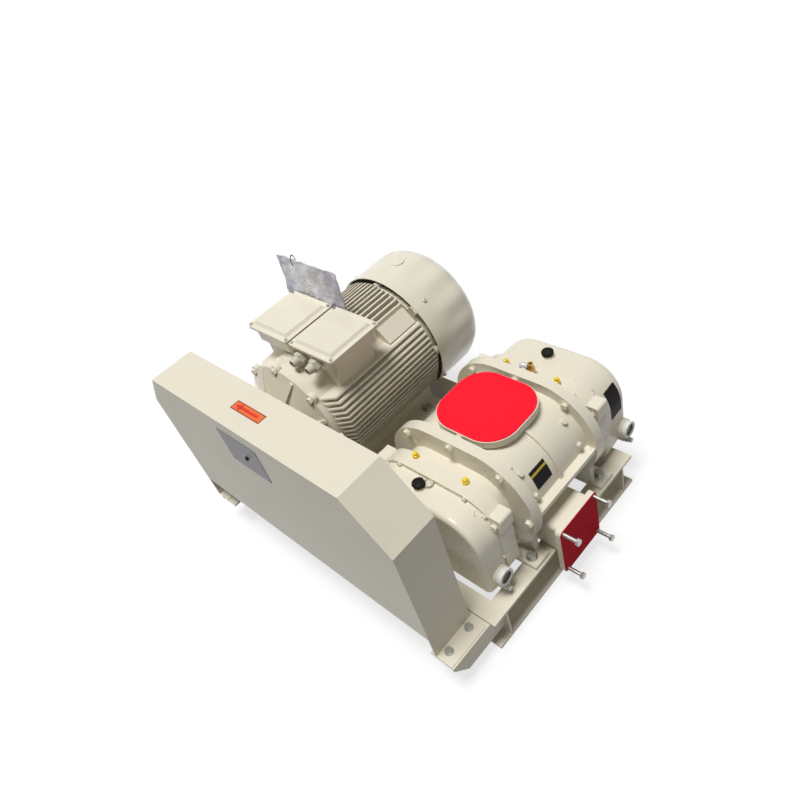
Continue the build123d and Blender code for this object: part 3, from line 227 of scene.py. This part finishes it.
cream_sheet = enamel("cream_sheet", 90.0, 0.0002, 0.34, 0.08, 0.0)
cream_channel = enamel("cream_channel", 60.0, 0.0003, 0.36, 0.30, 0.05)
cream_casting = enamel("cream_casting", 70.0, 0.00025, 0.24, 0.10, 0.22)
cream_gloss = enamel("cream_gloss", 40.0, 0.0002, 0.20, 0.05, 0.5)
print("cream paints", cream_sheet.name, cream_channel.name, cream_casting.name, cream_gloss.name)

# %% [markdown]
# The fan cowl is pressed with shallow flutes that run along it. They are far lower than they are
# wide, so a bump that follows the angle about the motor's axis draws them. They fade in behind the
# cowl's front edge.

# %% Cowl enamel
MOTOR_AXIS = (-0.296, 0.363)
FLUTES_ROUND, FLUTES_START, FLUTES_RISE = 15.0, 0.28, 14.0
cowl_paint = Paint("cowl_enamel")
spot = cowl_paint.place()
beside, along, above = [
    cowl_paint.node("ShaderNodeSeparateXYZ", out=number, Vector=spot) for number in (0, 1, 2)
]
angle = (above - MOTOR_AXIS[1]).math("ARCTAN2", beside - MOTOR_AXIS[0])
fade_in = ((along - FLUTES_START) * FLUTES_RISE).clamp()
flutes = (angle * FLUTES_ROUND).math("SINE") * fade_in
haze = cowl_paint.noise(12.0, detail=4.0)
cowl_enamel = cowl_paint.finish(
    Base_Color=cowl_paint.blend(haze * 0.12, CREAM, CREAM_DUSTY),
    Roughness=haze * 0.10 + 0.17,
    Normal=cowl_paint.bump(flutes, 0.55, 0.004),
    Specular_IOR_Level=0.35,
    Coat_Weight=0.5,
    Coat_Roughness=0.1,
)
print("cowl enamel", cowl_enamel.name)

# %% [markdown]
# Bare metal shows on the fasteners, the window's plate and the shafts. Zinc plating is bright and
# a little cloudy. Machined steel is the same with finer noise.


# %% Bare metals
def metal(name, tone, roughness, cloud, grain=60.0):
    """Bare metal: cloud is how far the tone drops where the haze is thick."""
    paint = Paint(name)
    haze = paint.noise(grain, detail=4.0)
    fine = paint.noise(grain * 9, detail=2.0)
    dulled = shade(tone[0] * 0.55, tone[1] * 0.54, tone[2] * 0.52)
    colour = paint.blend(haze * cloud, tone, dulled)
    return paint.finish(
        Base_Color=colour,
        Metallic=1.0,
        Roughness=haze * 0.16 + (roughness - 0.08),
        Normal=paint.bump(fine, 0.2, 0.0002),
    )


zinc = metal("zinc", shade(0.52, 0.52, 0.49), 0.34, 0.7)
machined = metal("machined_steel", shade(0.60, 0.59, 0.56), 0.30, 0.4, 120.0)
dark_iron = metal("dark_iron", shade(0.13, 0.13, 0.13), 0.52, 0.5)
brass = metal("brass", shade(0.66, 0.42, 0.15), 0.28, 0.4)
copper = metal("copper_winding", shade(0.50, 0.20, 0.10), 0.40, 0.5, 200.0)
print("metals", zinc.name, machined.name, dark_iron.name, brass.name)

# %% [markdown]
# Rubber, nylon and moulded plastic have no metal in them: a plain colour with a slight mottle, and
# a roughness that tells a matt belt from a gloss plug. The two covers over the pump's openings are
# thin plastic film stretched flat, one bright red and one crimson.


# %% Plastics
def plastic(name, tone, roughness, mottle=0.12, grain=140.0, depth=0.0002, coat=0.0, shine=0.2):
    """Rubber, nylon, plastic or film: mottle is how far the tone drops in its darker spots."""
    paint = Paint(name)
    haze = paint.noise(grain, detail=3.0)
    darker = shade(*(part * 0.6 for part in tone[:3]))
    colour = paint.blend(haze * mottle, tone, darker)
    return paint.finish(
        Base_Color=colour,
        Roughness=haze * 0.14 + (roughness - 0.07),
        Normal=paint.bump(haze, 0.3, depth),
        Specular_IOR_Level=shine,
        Coat_Weight=coat,
    )


rubber = plastic("belt_rubber", shade(0.012, 0.012, 0.012), 0.75, shine=0.1)
black_plastic = plastic("black_plastic", shade(0.010, 0.009, 0.009), 0.45, shine=0.1)
yellow_plastic = plastic("yellow_plastic", shade(0.86, 0.60, 0.015), 0.30, coat=0.4)
grey_nylon = plastic("grey_nylon", shade(0.56, 0.53, 0.43), 0.42)
white_ring = plastic("white_ring", shade(0.74, 0.73, 0.68), 0.32, coat=0.3)
red_film = plastic("red_film", shade(0.99, 0.012, 0.03), 0.55, mottle=0.03, grain=20.0, shine=0.08)
crimson_film = plastic(
    "crimson_film", shade(0.56, 0.004, 0.022), 0.6, mottle=0.25, grain=18.0, shine=0.04
)
print("plastics", rubber.name, yellow_plastic.name, red_film.name)

# %% [markdown]
# The sight glasses are dark with oil. The bag's film lets a little through, and its creases stand up
# as a bump over papers of uneven tone. The same creases also lighten the film's colour on their
# crests and darken it in their hollows, as painted light and shade. The window's plate is a fine
# mesh, which two sine waves that cross at right angles draw.

# %% Glass, film and the window's mesh
WEAVE = 700.0
glass = Paint("dark_glass")
oil = glass.noise(30.0)
dark_glass = glass.finish(
    Base_Color=glass.blend(oil, shade(0.03, 0.008, 0.006), shade(0.06, 0.02, 0.012)),
    Roughness=0.06,
    Specular_IOR_Level=0.12,
    Coat_Weight=0.05,
    Coat_Roughness=0.03,
)

pouch = Paint("clear_film")
creases = pouch.noise(26.0, detail=6.0, roughness=0.62)
sheets = pouch.noise(7.0, detail=3.0)
clear_film = pouch.finish(
    # Painted light and shade on the crinkles: the crease height lightens the film's colour on the
    # crests and darkens it in the hollows, over the papers' uneven tone.
    Base_Color=pouch.blend(
        pouch.ramp(sheets + creases * 0.5, ((0.55, 0.0), (0.95, 1.0))),
        shade(0.50, 0.49, 0.62),
        shade(0.90, 0.90, 0.96),
    ),
    Roughness=creases * 0.25 + 0.08,
    Normal=pouch.bump(creases, 0.9, 0.012),
    Coat_Weight=0.8,
    Alpha=0.93,
)

lattice = Paint("window_mesh")
spot = lattice.place()
across_x = lattice.node("ShaderNodeSeparateXYZ", out=0, Vector=spot)
across_z = lattice.node("ShaderNodeSeparateXYZ", out=2, Vector=spot)
rise = ((across_x + across_z) * WEAVE).math("SINE")
fall = ((across_x - across_z) * WEAVE).math("SINE")
holes = (rise * fall + 0.35).clamp()
window_mesh = lattice.finish(
    Base_Color=lattice.blend(holes, shade(0.26, 0.245, 0.26), shade(0.08, 0.075, 0.08)),
    Metallic=0.4,
    Roughness=0.42,
    Normal=lattice.bump(holes * -1, 0.5, 0.0008),
)
print("glass and film", dark_glass.name, clear_film.name, window_mesh.name)

# %% [markdown]
# Each CAD node keeps its shape and takes the finish of the real part.

# %% Finishes of the CAD nodes
FINISHES = {
    cream_channel: "cross_channel_near cross_channel_far side_channel_motor side_channel_pump"
    " inner_channel_motor inner_channel_pump guard_bracket_pump guard_bracket_motor"
    " motor_slide_rails",
    cream_casting: "pump_casing side_plate_near side_plate_far oil_cover gear_cover motor_frame"
    " motor_drive_shield motor_fan_shield side_plate_bolts drive_shield_bolts",
    cream_sheet: "belt_guard guard_back_plate",
    cream_gloss: "terminal_box_left terminal_box_right box_lid_left box_lid_right",
    cowl_enamel: "fan_cowl",
    zinc: "guard_bolts outlet_bolts lid_screws pump_foot_bolts motor_foot_bolts drain_plugs",
    window_mesh: "guard_window",
    clear_film: "document_bag",
    machined: "drive_rotor idler_rotor drive_timing_gear idler_timing_gear motor_shaft"
    " motor_rotor_core stator_core rotor_bearings motor_bearings",
    dark_iron: "pump_sheave motor_sheave pump_taper_bush motor_taper_bush",
    copper: "stator_windings",
    rubber: "v_belts shaft_seal",
    yellow_plastic: "vent_plugs",
    black_plastic: "oil_filler_caps cooling_fan",
    grey_nylon: "cable_glands",
    white_ring: "sight_glass_rings",
    dark_glass: "sight_glasses",
    red_film: "inlet_cover",
    crimson_film: "outlet_cover",
    brass: "gauge_fitting",
}
for material, names in FINISHES.items():
    for name in names.split():
        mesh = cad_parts[name].data
        mesh.materials.clear()
        mesh.materials.append(material)
print("dressed", sum(len(names.split()) for names in FINISHES.values()), "nodes")

# %% [markdown]
# New pieces start as a plain round, ring or plane in edit mode, are shaped there, and end with
# normals that face outward. Their place goes into the mesh, so every object stays at the origin.
# Repeated pieces are modelled once, and the copies are joined.


# %% Shaping tools
def seat(x, y, z, facing=(0, 0, 1), along=(1, 0, 0)):
    """A place in millimetres: a piece's own +Z faces one way and its own X lies along the other."""
    up = Vector(facing).normalized()
    side = (Vector(along) - up * Vector(along).dot(up)).normalized()
    turn = Matrix((side, up.cross(side), up)).transposed()
    return Matrix.Translation(Vector((x, y, z)) * 0.001) @ turn.to_4x4()


def begin(name, maker, **settings):
    """A primitive in edit mode, all of it selected and its place already in its mesh."""
    bpy.ops.object.select_all(action="DESELECT")
    maker(**settings)
    piece = bpy.context.object
    piece.name = name
    bpy.ops.object.transform_apply(location=True, rotation=True, scale=True)
    bpy.ops.object.mode_set(mode="EDIT")
    bpy.ops.mesh.select_mode(type="FACE")
    return piece


def end_shaping():
    """Turns every face outward and leaves edit mode."""
    bpy.ops.mesh.select_all(action="SELECT")
    bpy.ops.mesh.normals_make_consistent(inside=False)
    bpy.ops.object.mode_set(mode="OBJECT")


def dress(piece, material, place=None, body="root", smooth=30):
    """Gives a shaped piece its place, finish, smooth faces and body."""
    bpy.ops.object.select_all(action="DESELECT")
    piece.select_set(True)
    bpy.context.view_layer.objects.active = piece
    for modifier in list(piece.modifiers):
        bpy.ops.object.modifier_apply(modifier=modifier.name)
    if place is not None:
        piece.data.transform(place)
    bpy.ops.object.shade_smooth_by_angle(angle=radians(smooth))
    if not piece.data.materials:
        piece.data.materials.append(material)
    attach(piece, body)
    print(piece.name, len(piece.data.polygons), "faces")
    return piece


def repeat(model, places, material):
    """Sets a copy of a shaped piece at each place and joins them as one piece."""
    name = model.name
    bpy.ops.object.select_all(action="DESELECT")
    for place in places:
        twin = model.copy()
        twin.data = model.data.copy()
        twin.data.transform(place)
        bpy.context.scene.collection.objects.link(twin)
        twin.select_set(True)
        bpy.context.view_layer.objects.active = twin
    bpy.ops.object.join()
    joined = bpy.context.object
    bpy.data.objects.remove(model)
    joined.name = name
    return dress(joined, material)


def millimetres(*lengths):
    """Lengths in millimetres as the metres that the operators take."""
    return tuple(length * 0.001 for length in lengths)


# %% [markdown]
# A hexagon head is a six-sided cylinder on a round washer. Its top edge is bevelled, as the
# chamfer of a forged head is. The casing's flange bolts end in painted nuts on the inner sides of
# both flanges, and one bolt holds each shoulder of the two covers.


# %% Nuts and heads
ACROSS_CORNERS = 0.00115
WASHER_RADIUS = 0.00066


def hexagon(name, flats, height, washer=1.5):
    """A nut or head on its washer, standing on z = 0, by its millimetres across flats."""
    piece = begin(
        name, bpy.ops.mesh.primitive_cylinder_add, vertices=6, radius=flats * ACROSS_CORNERS / 2,
        depth=height * 0.001, location=(0, 0, (washer + height / 2) * 0.001),
    )
    bpy.ops.mesh.bevel(offset=0.0008, segments=1)
    bpy.ops.mesh.primitive_cylinder_add(
        vertices=24, radius=flats * WASHER_RADIUS, depth=washer * 0.001,
        location=(0, 0, washer * 0.0005),
    )
    end_shaping()
    return piece


PUMP_X, SHAFT_Z, PITCH, BOLT_CIRCLE = 288, 297, 76, 155
FLANGE_BOLTS = [
    (side * (PITCH + BOLT_CIRCLE * cos(radians(turn))), BOLT_CIRCLE * sin(radians(turn)))
    for side in (-1, 1)
    for turn in (-57, -3, 57)
] + [(0, BOLT_CIRCLE), (0, -BOLT_CIRCLE)]
repeat(
    hexagon("casing_nuts", 19, 10),
    [
        seat(PUMP_X + dx, y, SHAFT_Z + dz, (0, outward, 0))
        for dx, dz in FLANGE_BOLTS
        for y, outward in ((-82, 1), (180, -1))
    ],
    cream_casting,
)
SHOULDER = 201
repeat(
    hexagon("cover_bolts", 17, 8),
    [
        seat(PUMP_X + side * SHOULDER, y, 357, (0, outward, 0))
        for side in (-1, 1)
        for y, outward in ((-203, -1), (-155, 1), (237, -1), (285, 1))
    ],
    cream_casting,
)

# %% [markdown]
# Small hexagon plugs close the drillings on the casing's shoulder, square to its curve.

# %% Casing plugs
CASING_ROUND = 139
CASING_SPOTS = ((-58, 44), (-52, 12), (150, 12), (146, 46))


def shoulder_seat(y, turn, side):
    """A place on the casing's curve, at a height angle in degrees on one side, facing out."""
    level, lift = cos(radians(turn)), sin(radians(turn))
    return seat(
        PUMP_X + side * (PITCH + CASING_ROUND * level), y, SHAFT_Z + CASING_ROUND * lift,
        (side * level, 0, lift), (0, 1, 0),
    )


repeat(
    hexagon("casing_plugs", 15, 8),
    [shoulder_seat(y, turn, side) for y, turn in CASING_SPOTS for side in (-1, 1)],
    cream_casting,
)

# %% [markdown]
# Each rim has a cast lug low on its sides, a short round bar with softened ends, and small heads
# round its corners. Domed plugs stand on the covers beside the rims.


# %% Rim lugs and domes
def lug(name, radius, length):
    """A round bar with softened ends, standing on z = 0, in millimetres."""
    piece = begin(
        name, bpy.ops.mesh.primitive_cylinder_add, vertices=32, radius=radius * 0.001,
        depth=length * 0.001, location=(0, 0, length * 0.0005),
    )
    bpy.ops.mesh.bevel(offset=0.002, segments=3)
    end_shaping()
    return piece


CORNER_X, CORNER_Z, CORNER_REACH = 95, 301, 110
LUGS = [(side * 206, 233) for side in (-1, 1)]
HEADS = LUGS + [
    (
        side * (CORNER_X + CORNER_REACH * cos(radians(turn))),
        CORNER_Z + CORNER_REACH * sin(radians(turn)),
    )
    for side in (-1, 1)
    for turn in (45, 80)
]
repeat(
    lug("rim_lugs", 10, 44),
    [seat(PUMP_X + dx, y, z, (0, -1, 0)) for dx, z in LUGS for y in (-157, 283)],
    cream_casting,
)
repeat(
    hexagon("rim_heads", 12, 5),
    [
        seat(PUMP_X + dx, y, z, (0, outward, 0))
        for dx, z in HEADS
        for y, outward in ((-203, -1), (237, -1), (285, 1))
    ],
    cream_casting,
)
dome = begin(
    "cover_domes", bpy.ops.mesh.primitive_cylinder_add, vertices=32, radius=0.013, depth=0.010,
    location=(0, 0, 0.005),
)
bpy.ops.mesh.bevel(offset=0.0075, segments=5)
end_shaping()
DOME_SPOTS = ((288, -212, 403, 90), (437, -214, 381, 55), (446, 297, 370, 50))
repeat(
    dome,
    [seat(x, y, z, (cos(radians(turn)), 0, sin(radians(turn)))) for x, y, z, turn in DOME_SPOTS],
    cream_casting,
)

# %% [markdown]
# Two black plates are fixed to the pump: one on the casing's curve, one that starts on the far
# cover's side and bends over its shoulder. Each is a thin strip spun round the surface's own axis.
# They are plain, with a yellow band along the top of the smaller one.

# %% Plates on the pump
plate_paint = Paint("black_plate")
height = plate_paint.node("ShaderNodeSeparateXYZ", out=2, Vector=plate_paint.place())
BAND_FOOT, BAND_TOP, SHARPNESS = 0.3665, 0.3735, 900.0
band = ((height - BAND_FOOT) * SHARPNESS).clamp() * ((BAND_TOP - height) * SHARPNESS).clamp()
streak = ((height * SHARPNESS).math("SINE") * 0.5 + 0.2).clamp() * 0.35
black_plate = plate_paint.finish(
    Base_Color=plate_paint.blend(
        band,
        plate_paint.blend(streak, shade(0.012, 0.010, 0.012), shade(0.07, 0.06, 0.055)),
        shade(0.50, 0.40, 0.06),
    ),
    Roughness=plate_paint.noise(80.0) * 0.2 + 0.35,
    Specular_IOR_Level=0.05,
)


def strip(name, width, thickness, x, y, z):
    """A thin upright strip's lower end at a place in millimetres, ready to be run along."""
    piece = begin(name, bpy.ops.mesh.primitive_plane_add, size=0.001)
    bpy.ops.transform.resize(value=(thickness, width, 1))
    bpy.ops.transform.translate(value=millimetres(x, y, z))
    return piece


CASING_REACH, IDLER_X = 139.4, 364
plate = strip("casing_plate", 63, 1.4, IDLER_X + CASING_REACH + 0.2, -7, SHAFT_Z)
bpy.ops.transform.rotate(
    value=radians(14), orient_axis="Y", center_override=millimetres(IDLER_X, 0, SHAFT_Z)
)
bpy.ops.mesh.spin(
    steps=10, angle=radians(23), center=millimetres(IDLER_X, 0, SHAFT_Z), axis=(0, 1, 0)
)
end_shaping()
dress(plate, black_plate)
COVER_ARC_X, COVER_ARC_Z, COVER_ARC = 370, 284, 121.4
COVER_PLATE_Y, COVER_PLATE_FOOT = 346, 258
plate = strip("cover_plate", 55, 1.4, COVER_ARC_X + COVER_ARC, COVER_PLATE_Y, COVER_PLATE_FOOT)
bpy.ops.mesh.extrude_region_move(
    TRANSFORM_OT_translate={"value": millimetres(0, 0, COVER_ARC_Z - COVER_PLATE_FOOT)}
)
bpy.ops.mesh.spin(
    steps=12, angle=radians(35), center=millimetres(COVER_ARC_X, 0, COVER_ARC_Z), axis=(0, 1, 0)
)
end_shaping()
middle = Matrix.Translation(millimetres(COVER_ARC_X, COVER_PLATE_Y, 0))
dress(
    plate, black_plate,
    middle @ Matrix.Rotation(radians(3), 4, "Z") @ middle.inverted(),
)

# %% [markdown]
# The orange sticker on the guard shows which way the belts run. Its dark edge is an inset ring of
# faces, and its arrow is a triangle and a bar that share one mesh.


# %% Running arrow
sticker_edge = plastic("sticker_edge", shade(0.20, 0.02, 0.012), 0.4, coat=0.2)
sticker_face = plastic("sticker_face", shade(0.80, 0.15, 0.035), 0.4, coat=0.2)
sticker_arrow = plastic("sticker_arrow", shade(0.70, 0.025, 0.012), 0.4, coat=0.2)
GUARD_TOP = 689
STICKER_X, STICKER_Y, STICKER_SHEET = -68, -421.5, 0.4
sticker = begin("sticker", bpy.ops.mesh.primitive_plane_add, size=0.001)
sticker.data.materials.append(sticker_edge)
sticker.data.materials.append(sticker_face)
bpy.ops.transform.resize(value=(124, 30, 1))
bpy.ops.mesh.extrude_region_move(TRANSFORM_OT_translate={"value": (0, 0, 0.0004)})
bpy.ops.mesh.inset(thickness=0.0026)
sticker.active_material_index = 1
bpy.ops.object.material_slot_assign()
end_shaping()
dress(sticker, sticker_edge, seat(STICKER_X, STICKER_Y, GUARD_TOP))
arrow = begin(
    "sticker_arrow", bpy.ops.mesh.primitive_circle_add, vertices=3, radius=0.015, fill_type="NGON"
)
bpy.ops.transform.rotate(value=radians(-90), orient_axis="Z", center_override=(0, 0, 0))
bpy.ops.transform.translate(value=(-0.036, 0, 0))
bpy.ops.mesh.primitive_plane_add(size=0.001)
bpy.ops.transform.resize(value=(72, 8, 1))
bpy.ops.transform.translate(value=(0.006, 0, 0))
bpy.ops.mesh.select_all(action="SELECT")
bpy.ops.mesh.extrude_region_move(TRANSFORM_OT_translate={"value": (0, 0, 0.0003)})
end_shaping()
dress(
    arrow, sticker_arrow, seat(STICKER_X, STICKER_Y, GUARD_TOP + STICKER_SHEET)
)

# %% [markdown]
# A small round knob at the middle of the window's plate holds it shut.

# %% Window knob
knob = begin(
    "window_knob", bpy.ops.mesh.primitive_cylinder_add, vertices=24, radius=0.006, depth=0.005,
    location=(0, 0, 0.0025),
)
bpy.ops.mesh.bevel(offset=0.0012, segments=2)
end_shaping()
dress(knob, black_plastic, seat(-50, -489.5, 588, (0, -1, 0)))

# %% [markdown]
# The fan cowl has a round pressed cap on its top and a pan-head screw at each of its four lugs.

# %% Cowl fittings
MOTOR_X, MOTOR_Z, COWL = -296, 363, 226
cap = begin(
    "cowl_cap", bpy.ops.mesh.primitive_cylinder_add, vertices=48, radius=0.025, depth=0.004,
    location=(0, 0, 0.0005),
)
bpy.ops.mesh.bevel(offset=0.001, segments=2)
end_shaping()
dress(cap, cream_gloss, seat(MOTOR_X, 355, MOTOR_Z + COWL))
screw = begin(
    "cowl_screws", bpy.ops.mesh.primitive_cylinder_add, vertices=24, radius=0.007, depth=0.006,
    location=(0, 0, 0.002),
)
bpy.ops.mesh.bevel(offset=0.002, segments=3)
end_shaping()
repeat(
    screw,
    [
        seat(MOTOR_X + COWL * cos(turn), 290, MOTOR_Z + COWL * sin(turn), (cos(turn), 0, sin(turn)))
        for turn in [radians(45 + 90 * k) for k in range(4)]
    ],
    zinc,
)

# %% [markdown]
# The vent plugs on the rims are yellow: a round collar with a six-sided top, rounded over.

# %% Vent plugs
vent = begin(
    "vent_tops", bpy.ops.mesh.primitive_cylinder_add, vertices=28, radius=0.0098, depth=0.016,
    location=(0, 0, 0.008),
)
bpy.ops.mesh.bevel(offset=0.0015, segments=2)
bpy.ops.mesh.primitive_cylinder_add(vertices=6, radius=0.0078, depth=0.008, location=(0, 0, 0.019))
bpy.ops.mesh.bevel(offset=0.002, segments=3)
end_shaping()
vents = repeat(
    vent, [seat(x, y, z) for x in (203, 378) for y, z in ((-165, 411), (245, 419))],
    yellow_plastic,
)
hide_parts("vent_plugs")

# %% [markdown]
# A filler cap has finger grips: twelve small round bars stand half out of its rim. A raised ring
# runs round its top.


# %% Filler caps
CAP_RADIUS, CAP_HEIGHT, GRIPS = 0.0172, 0.009, 12


def filler_cap():
    """A filler cap's top with its ring and finger grips, standing on z = 0."""
    piece = begin(
        "filler_cap_tops", bpy.ops.mesh.primitive_cylinder_add, vertices=24,
        radius=CAP_RADIUS, depth=CAP_HEIGHT, location=(0, 0, CAP_HEIGHT / 2),
    )
    bpy.ops.mesh.bevel(offset=0.0008, segments=2)
    bpy.ops.mesh.primitive_torus_add(
        major_radius=0.012, minor_radius=0.0016, major_segments=32, minor_segments=8,
        location=(0, 0, CAP_HEIGHT),
    )
    for k in range(GRIPS):
        turn = radians(360 / GRIPS * k)
        bpy.ops.mesh.primitive_cylinder_add(
            vertices=10, radius=0.0016, depth=0.0075,
            location=(CAP_RADIUS * cos(turn), CAP_RADIUS * sin(turn), CAP_HEIGHT / 2),
        )
    end_shaping()
    return piece


repeat(
    filler_cap(),
    [seat(270, -231, 412.6), seat(278, 345, 415.6)],
    black_plastic,
)

# %% [markdown]
# The brass fitting is shut by a milky push-on cap on its side.

# %% Fitting cap
stopper = begin(
    "fitting_stopper", bpy.ops.mesh.primitive_cylinder_add, vertices=28, radius=0.010, depth=0.024,
    location=(0, 0, 0.012),
)
bpy.ops.mesh.bevel(offset=0.0025, segments=3)
end_shaping()
milky = plastic("milky_cap", shade(0.62, 0.60, 0.66), 0.25, coat=0.6)
dress(stopper, milky, seat(282, 247, 446, (-1, -0.35, 0.05)))

# %% [markdown]
# The document bag is a soft pouch of clear film over folded papers. A flat grid takes its size,
# is pushed about by a cloud pattern so that it crinkles, and is given a thickness. It leans back
# a little, and a loop of wire goes through its top edge.

# %% Document bag
BAG_LEAN, BAG_EDGE = 0.014, 0.006
low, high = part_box("document_bag")
size = high - low
bag = begin(
    "paper_bag", bpy.ops.mesh.primitive_grid_add, x_subdivisions=44, y_subdivisions=24, size=1,
)
bpy.ops.transform.resize(value=(size.x - BAG_EDGE, size.z - BAG_EDGE, 1))
end_shaping()
clouds = bpy.data.textures.new("crinkles", "CLOUDS")
clouds.noise_scale = 0.035
clouds.noise_depth = 3
crinkle = bag.modifiers.new("crinkle", "DISPLACE")
crinkle.texture = clouds
crinkle.strength = 0.016
crinkle.mid_level = 0.5
skin = bag.modifiers.new("skin", "SOLIDIFY")
skin.thickness = 0.003
skin.offset = 0
lean = Vector((0, BAG_LEAN, size.z)).normalized()
centre = (low + high) / 2
sideways = Vector((1, 0, 0))
lean_turn = Matrix((sideways, lean, sideways.cross(lean))).transposed()
place = Matrix.Translation(centre) @ lean_turn.to_4x4()
dress(bag, clear_film, place, smooth=60)
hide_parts("document_bag")
twist = begin(
    "bag_tie", bpy.ops.mesh.primitive_torus_add, major_radius=0.010, minor_radius=0.0011,
    major_segments=24, minor_segments=8,
)
bpy.ops.transform.resize(value=(1, 2.0, 1))
end_shaping()
dress(twist, black_plastic, seat(-462, 86, 722, (1, 0.2, 0), (0, 1, 0)))

# %% [markdown]
# The set stands on a plain floor. The camera sees the floor and the sky as plain white, with the
# object's soft shadow, while the light that the floor sends back up comes from a darker grey. The
# Light Path node tells the two kinds of ray apart.

# %% Floor
bpy.ops.object.select_all(action="DESELECT")
bpy.ops.mesh.primitive_plane_add(size=60, location=(0, 0, -0.0005))
floor = bpy.context.object
floor.name = "floor"


def seen_directly(paint):
    """1 for rays from the camera and for what gloss and glass show, 0 for the light itself."""
    kinds = [paint.node("ShaderNodeLightPath", out=number) for number in (0, 3, 6)]
    return (kinds[0] + kinds[1] + kinds[2]).clamp()


ground = Paint("floor")
seen = seen_directly(ground)
ground.finish(
    Base_Color=ground.blend(seen, shade(0.28, 0.28, 0.28), shade(0.95, 0.95, 0.95)),
    Roughness=0.95,
    Specular_IOR_Level=0.0,
)
glow = ground.tree.nodes.new("ShaderNodeEmission")
mixer = ground.tree.nodes.new("ShaderNodeMixShader")
plug(ground.tree, mixer.inputs[0], seen * 0.72)
ground.tree.links.new(ground.shader.outputs[0], mixer.inputs[1])
ground.tree.links.new(glow.outputs[0], mixer.inputs[2])
ground.tree.links.new(mixer.outputs[0], ground.tree.nodes["Material Output"].inputs[0])
floor.data.materials.append(ground.material)
print("floor", floor.name)

# %% [markdown]
# One broad sun high over the set gives the bright tops, and leans a little to the guard's side so
# that its front is lit about half as much. A weak second one opens the shadows on the pump's end.
# The white sky only shows directly: as a light it is dim, and that keeps the sides' tones apart.


# %% Lamps and sky
def sun(name, toward, strength, softness):
    """A far lamp that shines from the given direction onto the set."""
    data = bpy.data.lights.new(name, "SUN")
    data.energy = strength
    data.angle = radians(softness)
    light = bpy.data.objects.new(name, data)
    light.rotation_euler = Vector(toward).to_track_quat("Z", "Y").to_euler()
    bpy.context.scene.collection.objects.link(light)


sun("main", (-0.05, -0.14, 1.0), 3.0, 22)
sun("side", (1.0, -0.3, 0.5), 0.12, 40)
SKY_AS_LIGHT, SKY_SEEN = 0.15, 0.85
world = bpy.data.worlds.new("studio")
world.use_nodes = True
sky = world.node_tree.nodes["Background"]
sky.inputs["Color"].default_value = (1, 1, 1, 1)
path = world.node_tree.nodes.new("ShaderNodeLightPath")
direct = Wire(world.node_tree, path.outputs[0]) + Wire(world.node_tree, path.outputs[3])
direct = (direct + Wire(world.node_tree, path.outputs[6])).clamp()
plug(world.node_tree, sky.inputs["Strength"], direct * SKY_SEEN + SKY_AS_LIGHT)
bpy.context.scene.world = world
